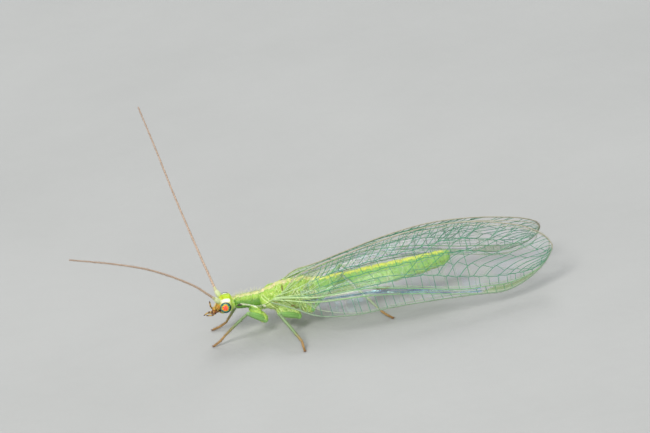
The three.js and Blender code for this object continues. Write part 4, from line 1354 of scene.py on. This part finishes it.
def make_wings():
    rng = np.random.default_rng(3)
    costal = np.concatenate([np.arange(0.11, 0.3, 0.031), np.arange(0.31, 0.59, 0.0225)])
    fore = network(rng, costal, FORE_RUNGS, BRANCHES, np.arange(0.2, 0.6, 0.0185))
    few = BRANCHES[::2] + BRANCHES[-1:]
    hind = network(rng, np.arange(0.12, 0.57, 0.03), HIND_RUNGS, few, np.arange(0.22, 0.62, 0.03))
    coat, nodes = Soup(), []
    for pair, place, veins in (("forewing", fore_place, fore), ("hindwing", hind_place, hind)):
        behind = pair == "hindwing"
        for side_name, side in SIDES.items():
            node = pair + "_" + side_name
            nodes.append(node)
            s, slots = membrane(place, side, 6 if behind else 0)
            settle(s.object(node + "_film", [FILM, PAINTED_SHEEN_STRIP, STIGMA], face_slots=slots), "membrane", node)
            lines = Soup()
            for vein in veins:
                add_vein(lines, coat, rng, place, side, behind, vein)
            settle(lines.object(node + "_veins", [VEIN]), "membrane", node)
    settle(coat.object("coat_wings", [HAIR], coat=True), "membrane", *nodes)


# Floor, light and camera

def make_floor():
    size, n = 3.0, 8
    axis = np.linspace(-size, size, n + 1)
    verts = [(x, y, -0.000005) for y in axis for x in axis]
    faces = [[j * (n + 1) + i, j * (n + 1) + i + 1, (j + 1) * (n + 1) + i + 1, (j + 1) * (n + 1) + i]
             for j in range(n) for i in range(n)]
    me = bpy.data.meshes.new("floor")
    me.from_pydata(verts, [], faces)
    me.materials.append(floor_material())
    floor = linked("floor", me)


def stand(obj, x, y, z, place):
    m = np.eye(4)
    m[:3] = np.stack([x, y, z, place], 1)
    obj.matrix_world = Matrix(m.tolist())


def area_light(name, place, size, power, colour=(1, 1, 1)):
    data = bpy.data.lights.new(name, "AREA")
    data.shape = "DISK"
    data.size = size
    data.energy = power
    data.color = colour
    place = np.array(place, float)
    z = unit(place - np.array([0, 0, 0.002]))
    x = unit(np.cross([0.0, 0.3, 1.0], z))
    stand(linked(name, data), x, np.cross(z, x), z, place)


def make_light():
    world = bpy.data.worlds.new("studio")
    world.use_nodes = True
    back = world.node_tree.nodes["Background"]
    back.inputs[0].default_value = (0.93, 0.96, 1.0, 1)
    back.inputs[1].default_value = 0.55
    bpy.context.scene.world = world
    area_light("key", (-0.12, -0.2, 0.3), 0.16, 1.0, (1.0, 0.98, 0.95))
    area_light("fill", (0.12, -0.34, 0.14), 0.25, 0.42, (0.97, 0.98, 1.0))
    area_light("back", (0.05, 0.3, 0.26), 0.2, 0.6)


PIXEL = 0.05  # millimetres of the insect that one pixel of the frame covers
REACH = 200.0
TURN, LOOK_DOWN, ROLL = (math.radians(v) for v in (2.0, 25.0, 11.8))
AIM_POINT, AIM_PIXEL, MIDDLE_PIXEL = np.array([0, 0, 1.6]), (328, 286.5), (325, 216.5)
FRAME_WIDTH, SENSOR = 650, 36.0


def make_camera():
    c, s = math.cos, math.sin
    look = np.array([-s(TURN) * c(LOOK_DOWN), c(TURN) * c(LOOK_DOWN), -s(LOOK_DOWN)])
    level = np.array([c(TURN), s(TURN), 0])
    over = np.cross(level, look)
    right = level * c(ROLL) - over * s(ROLL)
    up = over * c(ROLL) + level * s(ROLL)
    aside, above = MIDDLE_PIXEL[0] - AIM_PIXEL[0], AIM_PIXEL[1] - MIDDLE_PIXEL[1]
    target = AIM_POINT + right * aside * PIXEL + up * above * PIXEL
    data = bpy.data.cameras.new("camera")
    data.sensor_width = SENSOR
    data.lens = REACH / PIXEL / FRAME_WIDTH * SENSOR
    data.clip_start, data.clip_end = 0.005, 20
    obj = linked("camera", data)
    stand(obj, right, up, -look, metres(target - look * REACH))
    bpy.context.scene.camera = obj


make_camera()
make_light()
make_floor()
bpy.context.scene.view_settings.view_transform = "Standard"
body_coat(*make_body())
for eye in ("left", "right"):
    make_eye(eye)
make_mouth()
make_feelers()
make_legs()
make_wings()

bpy.context.view_layer.update()
